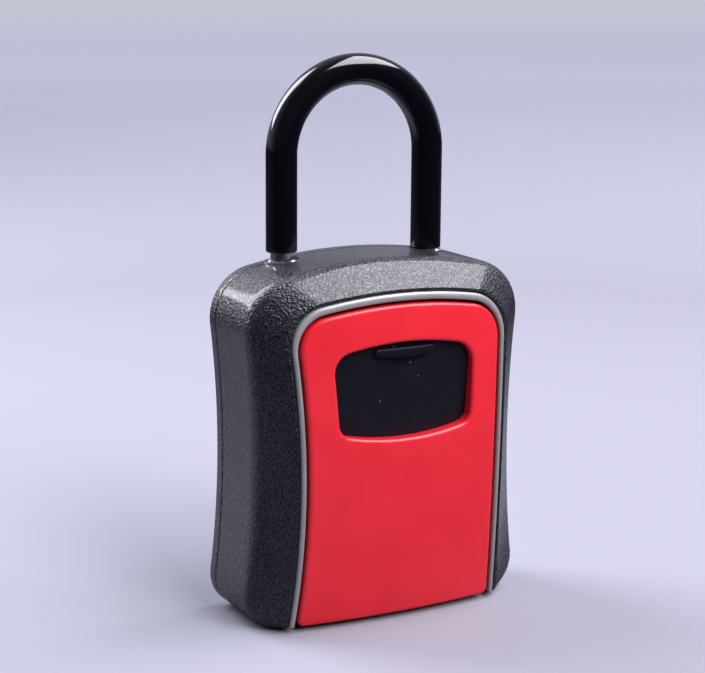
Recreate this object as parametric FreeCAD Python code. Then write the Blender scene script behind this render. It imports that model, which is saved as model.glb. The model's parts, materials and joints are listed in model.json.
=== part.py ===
"""Portable key lock box with a shackle, as an assembly of separate pieces.

Millimetres, +Z up.  The box stands on z = 0, faces -Y, and +X is to its right as seen from +Y.
The origin is the bottom centre of the whole object's bounding box.
"""
import FreeCAD, Part
import math
import os

V = FreeCAD.Vector
os.makedirs("parts", exist_ok=True)

# ---------------------------------------------------------------- driving dimensions
DEPTH = 43.6                  # back plane to the crown of the door
BACK_Y = DEPTH / 2
CROWN_Y = -DEPTH / 2          # foremost point of the door

# Crowned front surface: a barrel, round in plan and round in side view.
CROWN_Z = 56.0                # height of the foremost point
PLAN_R = 250.0
SIDE_R = 300.0

# Waisted outlines, all built the same way: see outline().
BODY = dict(half=46.7, waist_z=56.0, waist_r=330.0, top=115.9, dome_r=174.0,
            shoulder_r=16.5, bottom=0.0, corner_r=11.5)
FRAME = dict(half=36.4, waist_z=44.0, waist_r=530.0, top=106.8, dome_r=156.0,
             shoulder_r=13.5, bottom=1.9, corner_r=0.8)

SEAM_Y = BACK_Y - 6.0         # joint between rear cover and front housing
CREASE_Y = BACK_Y - 28.5      # where the straight side wall turns into the front bevel
WALL = 3.0
BACK_WALL = 2.2
BACK_EDGE_R = 1.8
SEAM_GROOVE = (0.6, 0.5)      # width, depth
THROAT_Y = -13.0              # where the housing wall narrows to the door opening
OPEN_FOOT_Z = -6.0            # below the floor, so that cuts leave the opening without a sill

TRIM_WIDTH = 2.0
TRIM_TOP_WIDTH = 2.8
TRIM_DEPTH = 4.0
TRIM_FIT = 0.15
SHUT_LINE = 1.0               # gap between trim and door
OPENING_INSET = TRIM_WIDTH + 0.2

SKIN = 1.8                    # door skin and its rim
RIM_BACK_Y = -6.0
WINDOW = dict(top=91.3, top_half=25.0, bottom=61.0, bottom_half=23.4,
              top_r=95.0, bottom_r=100.0, upper_corner=6.5, lower_corner=4.5)

SHUTTER_RECESS = 4.6          # shutter face behind the crown of the door
SHUTTER_THICK = 1.2
SHUTTER_GAP = 0.3
SHUTTER_HALF = 26.3
RAIL_GAP = 0.3                # between shutter and rails
SHUTTER_Z = (57.5, 93.2)
LIP = dict(half=10.6, z=(86.0, 89.6), reach=2.4, chamfer=0.9)

HINGE_Y = -9.0
HINGE_Z = 6.0
HINGE_PIN_R = 1.5
HINGE_PIN_HALF = 37.0
KNUCKLE_R = 3.4
KNUCKLE_HALF = 31.0
RUN_FIT = 0.05                # radial clearance of a shaft that turns or slides
SILL_Y = -4.0                 # front edge of the housing floor, clear of the door's toe

CARRIER_HALF = 28.5
CARRIER_Z = (58.0, 96.5)
CARRIER_Y = (-12.2, 1.0)
PLATE_Z = (25.0, 96.5)
PLATE_BACK_Y = -12.2
PLATE_SCREWS = [(-24.0, 28.5), (24.0, 28.5)]
PLATE_SHEET = 1.8             # dial plate left under the heads of its screws
RAIL_TOP_Z = 92.0
COVER_THICK = 1.4
BACK_SCREWS = [(-25.5, 61.5), (25.5, 61.5), (-25.5, 92.5), (25.5, 92.5)]

DIAL_R = 7.5
DIAL_WIDTH = 7.4
DIAL_PITCH = 8.6
DIAL_FIRST_X = -16.4
DIAL_COUNT = 4
DIAL_Z = 80.5
DIAL_Y = -6.9
DIAL_BORE_R = 4.65
CODE_SLEEVE_R = 4.55
CODE_SLEEVE_LENGTH = 8.2
AXLE_R = 1.5
AXLE_X = (-24.4, 16.7)
KNURL_COUNT = 10              # one groove between digits
KNURL_R = 0.7
DIAL_POCKET_X = (-21.6, 14.0)
DIAL_POCKET_Z = (70.6, 89.6)

LATCH_X = 19.5
LATCH_HALF = 2.0
LATCH_FIT = 0.4               # side clearance of the latch in its channel
LATCH_TOP_Z = 99.4
KNOB_Y = (-14.5, -13.4)
KNOB_Z = (76.0, 90.0)
SPRING_Z = (60.7, 65.6)       # latch spring, pressed together
LATCH_WINDOW_Z = (91.4, 100.0)

SHACKLE_SPAN = 53.0
SHACKLE_Y = BACK_Y - 7.1
BAR_R = 3.5
SLEEVE_R = 5.0
BOW_Z = 147.0
HEEL_Z = 64.0                 # lower end of the long, captive leg
TOE_Z = 93.0                  # lower end of the short leg
HEEL_SLEEVE_Z = 116.5
TOE_SLEEVE_Z = 114.2

GUIDE_Z = (101.5, 109.0)
GUIDE_Y = (4.5, 19.3)
GUIDE_HALF = 33.0
GUIDE_SCREW_X = 14.0
GUIDE_SEAT_Z = 104.1          # under the heads of the guide screws
POST_TOP_Z = 114.2
STRIKE_THICK = 1.5
STRIKE_SCREWS = [(LATCH_X - 5, 106.0), (LATCH_X + 5, 106.0)]
LOCK_PLATE_Z = (98.0, 100.5)

HOLE_CONE_Z = (111.6, 113.2)  # cone between bore and countersink of the shackle holes
HOLE_TOP_Z = 120.0
CLIP_Z = (66.0, 67.2)
CLIP_R = 4.2
CLIP_GROOVE = 0.7

HOOK_X = 6.0
HOOK_Z = 84.0
HOOK_R = 1.5
HOOK_TIP = (9.0, 5.0)         # depth and height of the bent end

COVER_SCREWS = [(-31.0, 11.0), (31.0, 11.0), (-37.0, 87.0), (37.0, 87.0)]
SCREW_R = 1.5
SCREW_FREE_R = 1.7            # hole a screw passes through
HEAD_R = 2.9
HEAD_HEIGHT = 1.8
SMALL_HEAD_R = 2.4
SMALL_HEAD_HEIGHT = 1.4
DRIVE = (1.1, 0.8)            # radius and depth of the recess in a screw head


# ---------------------------------------------------------------- small helpers
def save(name, shape):
    """Write one node and say how large it is."""
    shape.exportStep("parts/%s.step" % name)
    box = shape.BoundBox
    print("%-20s solids %d  volume %9.1f  valid %s  x %.1f %.1f  y %.1f %.1f  z %.1f %.1f"
          % (name, len(shape.Solids), shape.Volume, shape.isValid(),
             box.XMin, box.XMax, box.YMin, box.YMax, box.ZMin, box.ZMax))


def box(x, y, z):
    """Box from three (low, high) pairs."""
    return Part.makeBox(x[1] - x[0], y[1] - y[0], z[1] - z[0], V(x[0], y[0], z[0]))


def rod(radius, start, end):
    """Cylinder from one point to another."""
    start, end = V(*start), V(*end)
    return Part.makeCylinder(radius, (end - start).Length, start, end - start)


def cone(radius_start, radius_end, start, end):
    """Cone frustum from one point to another."""
    start, end = V(*start), V(*end)
    return Part.makeCone(radius_start, radius_end, (end - start).Length, start, end - start)


def fuse(shapes):
    """One clean solid from shapes that touch or overlap."""
    return shapes[0].multiFuse(shapes[1:]).removeSplitter()


def edges_along_y(shape):
    """The edges that run from front to back."""
    return [e for e in shape.Edges if e.BoundBox.YLength > 1 and e.BoundBox.XLength < 1e-3
            and e.BoundBox.ZLength < 1e-3]


def screw(seat, tip, head_r=HEAD_R, head_height=HEAD_HEIGHT):
    """Pan-head screw from the seat under its head to the tip of its shank."""
    seat, tip = V(*seat), V(*tip)
    along = (tip - seat).normalize()
    shank = Part.makeCylinder(SCREW_R, (tip - seat).Length, seat, along)
    head = Part.makeCylinder(head_r, head_height, seat, along * -1)
    drive = Part.makeCylinder(DRIVE[0], DRIVE[1], seat - along * head_height, along)
    return head.fuse(shank).removeSplitter().cut(drive)


def screws(places, seat_y, tip_y, *head):
    """The same screw at several places, along Y, as a group of separate solids."""
    return Part.makeCompound([screw((x, seat_y, z), (x, tip_y, z), *head) for x, z in places])


def meet(c1, r1, c2, r2):
    """Upper crossing, as (x, z), of two circles."""
    dx, dz = c2[0] - c1[0], c2[1] - c1[1]
    gap = math.hypot(dx, dz)
    along = (r1 * r1 - r2 * r2 + gap * gap) / (2 * gap)
    side = math.sqrt(r1 * r1 - along * along)
    crossings = [(c1[0] + (along * dx - s * side * dz) / gap,
                  c1[1] + (along * dz + s * side * dx) / gap) for s in (1, -1)]
    return max(crossings, key=lambda point: point[1])


def towards(centre, radius, other):
    """Point on a circle in the direction of another point."""
    dx, dz = other[0] - centre[0], other[1] - centre[1]
    gap = math.hypot(dx, dz)
    return (centre[0] + radius * dx / gap, centre[1] + radius * dz / gap)


# ---------------------------------------------------------------- outlines in the XZ plane
def inset(dims, by, top=None):
    """The same outline drawn inside itself; top may be set in by its own amount."""
    top = by if top is None else top
    return dict(dims, half=dims["half"] - by, waist_r=dims["waist_r"] + by,
                top=dims["top"] - top, dome_r=dims["dome_r"] - top,
                shoulder_r=dims["shoulder_r"] - by, bottom=dims["bottom"] + by,
                corner_r=max(dims["corner_r"] - by, 0.5))


def outline(dims):
    """Right half as arcs from the floor to the top: (centre, radius, start, end).

    Corner, hollow waist, shoulder and dome run into each other smoothly.
    """
    waist = (dims["half"] + dims["waist_r"], dims["waist_z"])
    dome = (0.0, dims["top"] - dims["dome_r"])
    corner_z = dims["bottom"] + dims["corner_r"]
    reach = dims["waist_r"] + dims["corner_r"]
    corner = (waist[0] - math.sqrt(reach ** 2 - (waist[1] - corner_z) ** 2), corner_z)
    shoulder = meet(dome, dims["dome_r"] - dims["shoulder_r"],
                    waist, dims["waist_r"] + dims["shoulder_r"])
    foot = (corner[0], dims["bottom"])
    low = towards(waist, dims["waist_r"], corner)
    high = towards(waist, dims["waist_r"], shoulder)
    crest = (0.0, dims["top"])
    bend = towards(dome, dims["dome_r"], shoulder)
    return [(corner, dims["corner_r"], foot, low), (waist, dims["waist_r"], low, high),
            (shoulder, dims["shoulder_r"], high, bend), (dome, dims["dome_r"], bend, crest)]


def arc_points(arc, count):
    """Points along one arc, from its start up to but without its end."""
    centre, radius, start, end = arc
    a0 = math.atan2(start[1] - centre[1], start[0] - centre[0])
    a1 = math.atan2(end[1] - centre[1], end[0] - centre[0])
    turn = (a1 - a0 + math.pi) % (2 * math.pi) - math.pi
    angles = [a0 + turn * i / count for i in range(count)]
    return [(centre[0] + radius * math.cos(a), centre[1] + radius * math.sin(a)) for a in angles]


def mirrored(points):
    """The left-hand partner of points, in the opposite order."""
    return [(-x, z) for x, z in reversed(points)]


def loop(dims, counts=(6, 14, 8, 6)):
    """Closed run of points round an outline, the same number for every outline."""
    half = [point for arc, count in zip(outline(dims), counts) for point in arc_points(arc, count)]
    return half + [(0.0, dims["top"])] + mirrored(half)


def wire(dims, y):
    """Exact outline of lines and arcs in the plane y."""
    edges = []
    for side in (1, -1):
        for arc in outline(dims):
            middle = arc_points(arc, 2)[1]
            stops = [V(side * p[0], y, p[1]) for p in (arc[2], middle, arc[3])]
            edges.append(Part.Arc(*stops).toShape())
    foot = outline(dims)[0][2]
    edges.append(Part.makeLine(V(-foot[0], y, foot[1]), V(foot[0], y, foot[1])))
    return Part.Wire(Part.__sortEdges__(edges))


def prism(dims, y):
    """Outline drawn out between two depths."""
    face = Part.Face(wire(dims, y[0]))
    return face.extrude(V(0, y[1] - y[0], 0))


def skinned(points_a, y_a, points_b, y_b):
    """Solid ruled between two matching closed runs of points in planes of constant y."""
    wires = []
    for points, y in ((points_a, y_a), (points_b, y_b)):
        corners = [V(x, y, z) for x, z in points]
        wires.append(Part.makePolygon(corners + corners[:1]))
    return Part.makeLoft(wires, True, True)


# ---------------------------------------------------------------- the crowned front
def crown_y(x, z):
    """Depth of the front surface at a place on it."""
    drop = SIDE_R - math.sqrt(SIDE_R ** 2 - (z - CROWN_Z) ** 2)
    radius = PLAN_R - drop
    return CROWN_Y + PLAN_R - math.sqrt(radius ** 2 - x * x)


def crown(depth):
    """Everything behind the front surface, moved back by depth."""
    axis_y = CROWN_Y + PLAN_R
    z0, z1 = CROWN_Z - 90, CROWN_Z + 90
    radius = SIDE_R - depth
    drop = radius - math.sqrt(radius ** 2 - (z1 - CROWN_Z) ** 2)
    front = axis_y - (PLAN_R - depth)
    back = front + 60
    bow = Part.Arc(V(0, front + drop, z0), V(0, front, CROWN_Z), V(0, front + drop, z1)).toShape()
    sides = Part.makePolygon([V(0, front + drop, z1), V(0, back, z1),
                              V(0, back, z0), V(0, front + drop, z0)])
    face = Part.Face(Part.Wire([bow] + sides.Edges))
    half_turn = 18.0
    face.rotate(V(0, axis_y, 0), V(0, 0, 1), -half_turn)
    return face.revolve(V(0, axis_y, 0), V(0, 0, 1), 2 * half_turn)


def plan_arch(depth, half, z):
    """Upright slab whose front follows the plan curve of the door, moved back by depth."""
    axis_y = CROWN_Y + PLAN_R
    drum = Part.makeCylinder(PLAN_R - depth, z[1] - z[0], V(0, axis_y, z[0]))
    return drum.common(box((-half, half), (CROWN_Y - 1, 0), z))


# ---------------------------------------------------------------- housing
def bevel_block():
    """Outer form of the front housing, from the seam to the crowned front.

    Flat facets run from the crease outline to the frame outline on the crown, a little past it,
    and close on a peak in front; the crown then trims them.
    """
    past = 1.06                   # how far the facets run on beyond the crown
    peak = V(0, CROWN_Y - 8, CROWN_Z)
    near = []
    far = []
    for (ax, az), (bx, bz) in zip(loop(BODY), loop(FRAME)):
        near.append(V(ax, CREASE_Y, az))
        tip = V(bx, crown_y(bx, bz), bz)
        far.append(near[-1] + (tip - near[-1]) * past)
    faces = [Part.Face(Part.makePolygon(near + near[:1]))]
    for i in range(len(near)):
        j = (i + 1) % len(near)
        for corners in ((near[i], near[j], far[j]), (near[i], far[j], far[i]), (far[i], far[j], peak)):
            faces.append(Part.Face(Part.makePolygon(corners + corners[:1])))
    nose = Part.makeSolid(Part.makeShell(faces))
    side = faces[0].extrude(V(0, SEAM_Y - CREASE_Y, 0))
    return nose.common(crown(0)).fuse(side).removeSplitter()


def shackle_holes():
    """Bores with a flat seat and a cone, shared by both shells."""
    bore_r, sink_r = BAR_R + 0.3, SLEEVE_R + 0.5
    low, high = HOLE_CONE_Z
    holes = []
    for x in (-SHACKLE_SPAN / 2, SHACKLE_SPAN / 2):
        holes.append(fuse([rod(bore_r, (x, SHACKLE_Y, 105), (x, SHACKLE_Y, HOLE_TOP_Z)),
                           rod(sink_r, (x, SHACKLE_Y, high), (x, SHACKLE_Y, HOLE_TOP_Z)),
                           cone(bore_r, sink_r, (x, SHACKLE_Y, low), (x, SHACKLE_Y, high))]))
    return holes


def door_opening():
    """What is taken out of the housing for the door, the trim and the compartment."""
    throat = dict(inset(FRAME, OPENING_INSET), bottom=WALL)
    room = inset(BODY, WALL)
    room_y = CREASE_Y + 2.2
    front_y = CROWN_Y - 3
    socket = prism(dict(FRAME, bottom=OPEN_FOOT_Z), (front_y, SILL_Y)).cut(crown(TRIM_DEPTH))
    return [prism(room, (room_y, SEAM_Y + 1)),
            skinned(loop(room), room_y, loop(throat), THROAT_Y),
            prism(throat, (front_y, room_y)),
            prism(dict(throat, bottom=OPEN_FOOT_Z), (front_y, SILL_Y)),
            socket]


def screw_ears():
    """Four ears at the seam that the cover screws pass through."""
    ears = []
    for x, z in COVER_SCREWS:
        reach = sorted((x - math.copysign(4.0, x), math.copysign(48.0, x)))
        ears.append(box(reach, (SEAM_Y - 4.0, SEAM_Y), (z - 4, z + 4)))
    return Part.makeCompound(ears).common(prism(inset(BODY, 1.0), (SEAM_Y - 5, SEAM_Y))).Solids


def guide_posts():
    """Two posts under the dome that the guide block hangs from."""
    places = (-GUIDE_SCREW_X, GUIDE_SCREW_X)
    posts = [rod(3.5, (x, SHACKLE_Y, GUIDE_Z[1]), (x, SHACKLE_Y, POST_TOP_Z)) for x in places]
    return Part.makeCompound(posts).common(box((-40, 40), (0, SEAM_Y), (100, 120))).Solids


def front_housing():
    """Cast front shell: side walls, bevel, door opening, ears for the screws, hinge cheeks."""
    body = bevel_block()
    for tool in door_opening():
        body = body.cut(tool)
    body = body.multiFuse(screw_ears() + guide_posts())
    for x, z in COVER_SCREWS:
        body = body.cut(rod(SCREW_FREE_R, (x, SEAM_Y - 8, z), (x, SEAM_Y + 1, z)))
    for x in (-GUIDE_SCREW_X, GUIDE_SCREW_X):
        body = body.cut(rod(SCREW_R, (x, SHACKLE_Y, 105), (x, SHACKLE_Y, POST_TOP_Z - 1.8)))
    pin_reach = HINGE_PIN_HALF + 0.5
    body = body.cut(rod(HINGE_PIN_R, (-pin_reach, HINGE_Y, HINGE_Z), (pin_reach, HINGE_Y, HINGE_Z)))
    for hole in shackle_holes():
        body = body.cut(hole)
    return body.removeSplitter()


def rear_cover():
    """Flat back with a short rim, four screw posts and a shadow groove along the seam."""
    shell = prism(BODY, (SEAM_Y, BACK_Y))
    back_edges = [e for e in shell.Edges if abs(e.BoundBox.YMin - BACK_Y) < 1e-6
                  and abs(e.BoundBox.YMax - BACK_Y) < 1e-6]
    shell = shell.makeFillet(BACK_EDGE_R, back_edges)
    shell = shell.cut(prism(inset(BODY, WALL), (SEAM_Y - 1, BACK_Y - BACK_WALL)))
    width, depth = SEAM_GROOVE
    ring = prism(BODY, (SEAM_Y - 1, SEAM_Y + width))
    ring = ring.cut(prism(inset(BODY, depth), (SEAM_Y - 2, SEAM_Y + width + 1)))
    shell = shell.cut(ring)
    posts = [rod(4.0, (x, SEAM_Y, z), (x, BACK_Y - 1, z)) for x, z in COVER_SCREWS]
    inside = prism(inset(BODY, 1.0), (SEAM_Y - 1, BACK_Y))
    shell = shell.multiFuse([post.common(inside).Solids[0] for post in posts])
    for x, z in COVER_SCREWS:
        shell = shell.cut(rod(SCREW_R, (x, SEAM_Y - 1, z), (x, BACK_Y - 1.2, z)))
    shell = shell.cut(rod(HOOK_R, (HOOK_X, BACK_Y - BACK_WALL - 1, HOOK_Z), (HOOK_X, BACK_Y - 1, HOOK_Z)))
    for hole in shackle_holes():
        shell = shell.cut(hole)
    return shell.removeSplitter()


def key_hook():
    """Bent pin pressed into the rear cover, for the key ring."""
    tip_y, rise = HOOK_TIP
    shank = rod(HOOK_R, (HOOK_X, BACK_Y - 1, HOOK_Z), (HOOK_X, tip_y, HOOK_Z))
    elbow = Part.makeSphere(HOOK_R, V(HOOK_X, tip_y, HOOK_Z))
    tip = rod(HOOK_R, (HOOK_X, tip_y, HOOK_Z), (HOOK_X, tip_y, HOOK_Z + rise))
    return fuse([shank, elbow, tip])


def trim_bezel():
    """Satin strip round three sides of the door, open at the bottom."""
    outer = inset(FRAME, TRIM_FIT)
    inner = dict(inset(FRAME, TRIM_WIDTH, TRIM_TOP_WIDTH), bottom=-8.0)
    band = prism(outer, (CROWN_Y - 1, SILL_Y)).cut(prism(inner, (CROWN_Y - 2, SILL_Y + 1)))
    band = band.common(crown(0.0)).cut(crown(TRIM_DEPTH - 0.05))
    return band.cut(box((-60, 60), (-40, 10), (-10, FRAME["bottom"] + 0.05)))


def shackle_guide():
    """Block under the dome that the shackle legs run in."""
    block = box((-GUIDE_HALF, GUIDE_HALF), GUIDE_Y, GUIDE_Z)
    for x in (-SHACKLE_SPAN / 2, SHACKLE_SPAN / 2):
        block = block.cut(rod(BAR_R + RUN_FIT, (x, SHACKLE_Y, 95), (x, SHACKLE_Y, 115)))
    for x in (-GUIDE_SCREW_X, GUIDE_SCREW_X):
        block = block.cut(rod(SCREW_FREE_R, (x, SHACKLE_Y, 95), (x, SHACKLE_Y, 115)))
        block = block.cut(rod(HEAD_R + 0.3, (x, SHACKLE_Y, 95), (x, SHACKLE_Y, GUIDE_SEAT_Z)))
    for x, z in STRIKE_SCREWS:
        block = block.cut(rod(SCREW_R, (x, 0, z), (x, GUIDE_Y[0] + 5, z)))
    return block


def guide_screws():
    """Two screws up through the guide block into the posts of the housing."""
    return Part.makeCompound([screw((x, SHACKLE_Y, GUIDE_SEAT_Z), (x, SHACKLE_Y, POST_TOP_Z - 2.0))
                              for x in (-GUIDE_SCREW_X, GUIDE_SCREW_X)])


def strike_plate():
    """Keeper plate on the guide block, over the latch nose."""
    plate = box((LATCH_X - 8, LATCH_X + 8), (GUIDE_Y[0] - STRIKE_THICK, GUIDE_Y[0]),
                (LATCH_TOP_Z + 0.6, GUIDE_Z[1] - 0.5))
    for x, z in STRIKE_SCREWS:
        plate = plate.cut(rod(SCREW_FREE_R, (x, 0, z), (x, 10, z)))
    return plate


# ---------------------------------------------------------------- shackle
def shackle_path(z_left, z_right):
    """Left leg up, over the bow, right leg down."""
    half = SHACKLE_SPAN / 2
    left, right = V(-half, SHACKLE_Y, BOW_Z), V(half, SHACKLE_Y, BOW_Z)
    bow = Part.Arc(left, V(0, SHACKLE_Y, BOW_Z + half), right).toShape()
    up = Part.makeLine(V(-half, SHACKLE_Y, z_left), left)
    down = Part.makeLine(right, V(half, SHACKLE_Y, z_right))
    return Part.Wire([up, bow, down])


def bent_rod(radius, z_left, z_right):
    """Round bar along the shackle path."""
    ring = Part.Wire(Part.makeCircle(radius, V(-SHACKLE_SPAN / 2, SHACKLE_Y, z_left), V(0, 0, 1)))
    return shackle_path(z_left, z_right).makePipeShell([ring], True, False)


def clip_ring(radius):
    """Ring round the long leg, as deep as the clip groove."""
    x = -SHACKLE_SPAN / 2
    low, high = CLIP_Z
    ring = rod(radius, (x, SHACKLE_Y, low), (x, SHACKLE_Y, high))
    return ring.cut(rod(BAR_R - CLIP_GROOVE, (x, SHACKLE_Y, low - 1), (x, SHACKLE_Y, high + 1)))


def shackle_bar():
    """Steel U with two locking notches, a clip groove and rounded ends."""
    bar = bent_rod(BAR_R, HEEL_Z, TOE_Z)
    half = SHACKLE_SPAN / 2
    notch_z = (LOCK_PLATE_Z[0] - 0.4, LOCK_PLATE_Z[1] + 0.4)
    for x in (-half, half):
        bar = bar.cut(box((x + 2.0, x + 6.0), (SHACKLE_Y - 5, SHACKLE_Y + 5), notch_z))
    bar = bar.cut(clip_ring(BAR_R + 1))
    tips = [e for e in bar.Edges
            if min(abs(e.BoundBox.ZMax - HEEL_Z), abs(e.BoundBox.ZMax - TOE_Z)) < 1e-6]
    return bar.makeChamfer(0.8, tips)


def shackle_clip():
    """Retaining ring that stops the long leg from leaving the guide."""
    x = -SHACKLE_SPAN / 2
    mouth = box((x - 1.2, x + 1.2), (SHACKLE_Y - 6, SHACKLE_Y), (CLIP_Z[0] - 1, CLIP_Z[1] + 1))
    return clip_ring(CLIP_R).cut(mouth)


def shackle_sleeve():
    """Vinyl sleeve on the bar; it ends higher on the long leg."""
    skin = bent_rod(SLEEVE_R, HEEL_SLEEVE_Z, TOE_SLEEVE_Z)
    return skin.cut(bent_rod(BAR_R, HEEL_SLEEVE_Z - 2, TOE_SLEEVE_Z - 2))


def shackle_lock_plate():
    """Sliding comb under the guide block that locks both legs, with a thumb tab below it."""
    front_y, back_y = 8.4, 19.0
    clear = BAR_R + 0.3
    finger = 4.0
    parts = [box((-34.0, 34.0), (front_y, SHACKLE_Y - clear), LOCK_PLATE_Z)]
    for x in (-SHACKLE_SPAN / 2 + clear, SHACKLE_SPAN / 2 + clear):
        parts.append(box((x, x + finger), (front_y, back_y), LOCK_PLATE_Z))
    parts.append(box((-7.0, 7.0), (front_y, back_y), LOCK_PLATE_Z))
    parts.append(box((-6.0, 6.0), (front_y - 1.8, front_y), (LOCK_PLATE_Z[0] - 5, LOCK_PLATE_Z[1])))
    return fuse(parts)


# ---------------------------------------------------------------- door
def window_prism(y, grow=0.0):
    """Rounded opening in the door: arched top, sagging bottom, sides that taper downwards."""
    w = WINDOW
    top_z, bottom_z = w["top"] + grow, w["bottom"] - grow
    top_half, bottom_half = w["top_half"] + grow, w["bottom_half"] + grow
    top_drop = top_half ** 2 / (2 * w["top_r"])
    bottom_rise = bottom_half ** 2 / (2 * w["bottom_r"])
    upper = [V(s * top_half, y[0], top_z - top_drop) for s in (-1, 1)]
    lower = [V(s * bottom_half, y[0], bottom_z + bottom_rise) for s in (-1, 1)]
    edges = [Part.Arc(upper[0], V(0, y[0], top_z), upper[1]).toShape(),
             Part.makeLine(upper[1], lower[1]),
             Part.Arc(lower[1], V(0, y[0], bottom_z), lower[0]).toShape(),
             Part.makeLine(lower[0], upper[0])]
    solid = Part.Face(Part.Wire(edges)).extrude(V(0, y[1] - y[0], 0))
    middle = (top_z + bottom_z) / 2
    low = [e for e in edges_along_y(solid) if e.BoundBox.ZMin < middle]
    solid = solid.makeFillet(w["lower_corner"] + grow, low)
    high = [e for e in edges_along_y(solid) if e.BoundBox.ZMin > middle]
    return solid.makeFillet(w["upper_corner"] + grow, high)


def door_outline():
    """Outline of the door, one shut line inside the trim."""
    side = TRIM_WIDTH + SHUT_LINE
    return dict(inset(FRAME, side, TRIM_TOP_WIDTH + SHUT_LINE), bottom=FRAME["bottom"], corner_r=2.0)


def window_collar():
    """Rim round the window, as deep as the shutter allows."""
    wide = (-40, 40)
    frame_y = (CROWN_Y - 1, CROWN_Y + SHUTTER_RECESS - 0.4)
    collar = window_prism(frame_y, 1.4).common(crown(0))
    shutter_room = plan_arch(SHUTTER_RECESS - SHUTTER_GAP, 40, (39, 101))
    return collar.common(box(wide, (CROWN_Y - 2, 0), (40, 100)).cut(shutter_room))


def hinge_knuckle():
    """Tube round the hinge pin and the web that joins it to the skin."""
    low, high = (-KNUCKLE_HALF, HINGE_Y, HINGE_Z), (KNUCKLE_HALF, HINGE_Y, HINGE_Z)
    web = box((-KNUCKLE_HALF, KNUCKLE_HALF), (CROWN_Y, HINGE_Y), (HINGE_Z - 2.5, HINGE_Z + KNUCKLE_R))
    return rod(KNUCKLE_R, low, high).fuse(web.common(crown(SKIN / 2)))


def door_skin():
    """Painted pan: crowned front, rim on all sides, window and hinge knuckle."""
    outer = door_outline()
    pan = prism(outer, (CROWN_Y - 1, RIM_BACK_Y)).common(crown(0))
    hollow = prism(inset(outer, SKIN), (CROWN_Y - 2, RIM_BACK_Y + 1)).common(crown(SKIN))
    toe_room = box((-60, 60), (HINGE_Y, 0), (-5, HINGE_Z))
    pan = pan.cut(hollow).cut(toe_room).fuse(hinge_knuckle())
    pan = pan.cut(rod(HINGE_PIN_R + RUN_FIT, (-40, HINGE_Y, HINGE_Z), (40, HINGE_Y, HINGE_Z)))
    pan = pan.fuse(window_collar()).cut(window_prism((CROWN_Y - 3, -8)))
    boss_end_y = PLATE_BACK_Y - PLATE_SHEET
    bosses = [rod(2.6, (x, CROWN_Y, z), (x, boss_end_y, z)).common(crown(SKIN / 2))
              for x, z in PLATE_SCREWS]
    return pan.multiFuse(bosses).removeSplitter()


def dial_plate():
    """Plate behind the shutter: its track, the dial slots and the latch slot."""
    front = SHUTTER_RECESS + SHUTTER_THICK + SHUTTER_GAP
    in_front = box((-40, 40), (CROWN_Y, PLATE_BACK_Y), (0, 120))
    plate = plan_arch(front, CARRIER_HALF, PLATE_Z).common(in_front)
    rails = plan_arch(SHUTTER_RECESS + SHUTTER_GAP, CARRIER_HALF, (PLATE_Z[0], RAIL_TOP_Z))
    track = SHUTTER_HALF + RAIL_GAP
    rails = rails.cut(box((-track, track), (CROWN_Y - 2, 2), (0, 120))).common(in_front)
    plate = plate.multiFuse(rails.Solids)
    for i in range(DIAL_COUNT):
        x = DIAL_FIRST_X + i * DIAL_PITCH
        half = DIAL_WIDTH / 2 + 0.25
        plate = plate.cut(box((x - half, x + half), (CROWN_Y, 0), (DIAL_Z - 6.3, DIAL_Z + 6.3)))
    pocket = box((LATCH_X - 3.6, LATCH_X + 3.6), (CROWN_Y, KNOB_Y[1] + 0.2), (70.0, 91.0))
    slot = box((LATCH_X - 1.8, LATCH_X + 1.8), (CROWN_Y, 0), (74.5, 86.6))
    plate = plate.cut(pocket).cut(slot)
    for x, z in PLATE_SCREWS:
        plate = plate.cut(rod(3.0, (x, CROWN_Y, z), (x, PLATE_BACK_Y - PLATE_SHEET, z)))
        plate = plate.cut(rod(SCREW_FREE_R, (x, CROWN_Y, z), (x, 0, z)))
    return plate.removeSplitter()


def dial_carrier():
    """Block behind the dial plate that holds axle, latch, reset slide and springs."""
    block = box((-CARRIER_HALF, CARRIER_HALF), CARRIER_Y, CARRIER_Z)
    axle_x = (AXLE_X[0] - 0.1, AXLE_X[1] + 0.1)
    channel_x = (LATCH_X - LATCH_HALF - LATCH_FIT, LATCH_X + LATCH_HALF + LATCH_FIT)
    block = block.cut(box(DIAL_POCKET_X, (-20, 5), DIAL_POCKET_Z))
    block = block.cut(rod(AXLE_R, (axle_x[0], DIAL_Y, DIAL_Z), (axle_x[1], DIAL_Y, DIAL_Z)))
    block = block.cut(box(channel_x, (-20, -7.6), (SPRING_Z[0] - 0.2, 100)))
    block = block.cut(box(channel_x, (-8, 5), LATCH_WINDOW_Z))
    block = block.cut(box((-12.0, 9.0), (-2.0, 5), (61.0, 68.4)))
    for x, z in BACK_SCREWS:
        block = block.cut(rod(SCREW_R, (x, CARRIER_Y[1] - 7, z), (x, CARRIER_Y[1] + 1, z)))
    return block


def door_back_cover():
    """Sheet that closes the carrier on the compartment side."""
    cover = box((-CARRIER_HALF, CARRIER_HALF), (CARRIER_Y[1], CARRIER_Y[1] + COVER_THICK), CARRIER_Z)
    cover = cover.makeFillet(3.0, edges_along_y(cover))
    channel_x = (LATCH_X - LATCH_HALF - LATCH_FIT, LATCH_X + LATCH_HALF + LATCH_FIT)
    cover = cover.cut(box(channel_x, (0, 5), LATCH_WINDOW_Z))
    cover = cover.cut(box((-7.5, 4.5), (0, 5), (63.2, 66.2)))
    for x, z in BACK_SCREWS:
        cover = cover.cut(rod(SCREW_FREE_R, (x, 0, z), (x, 5, z)))
    return cover


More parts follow.
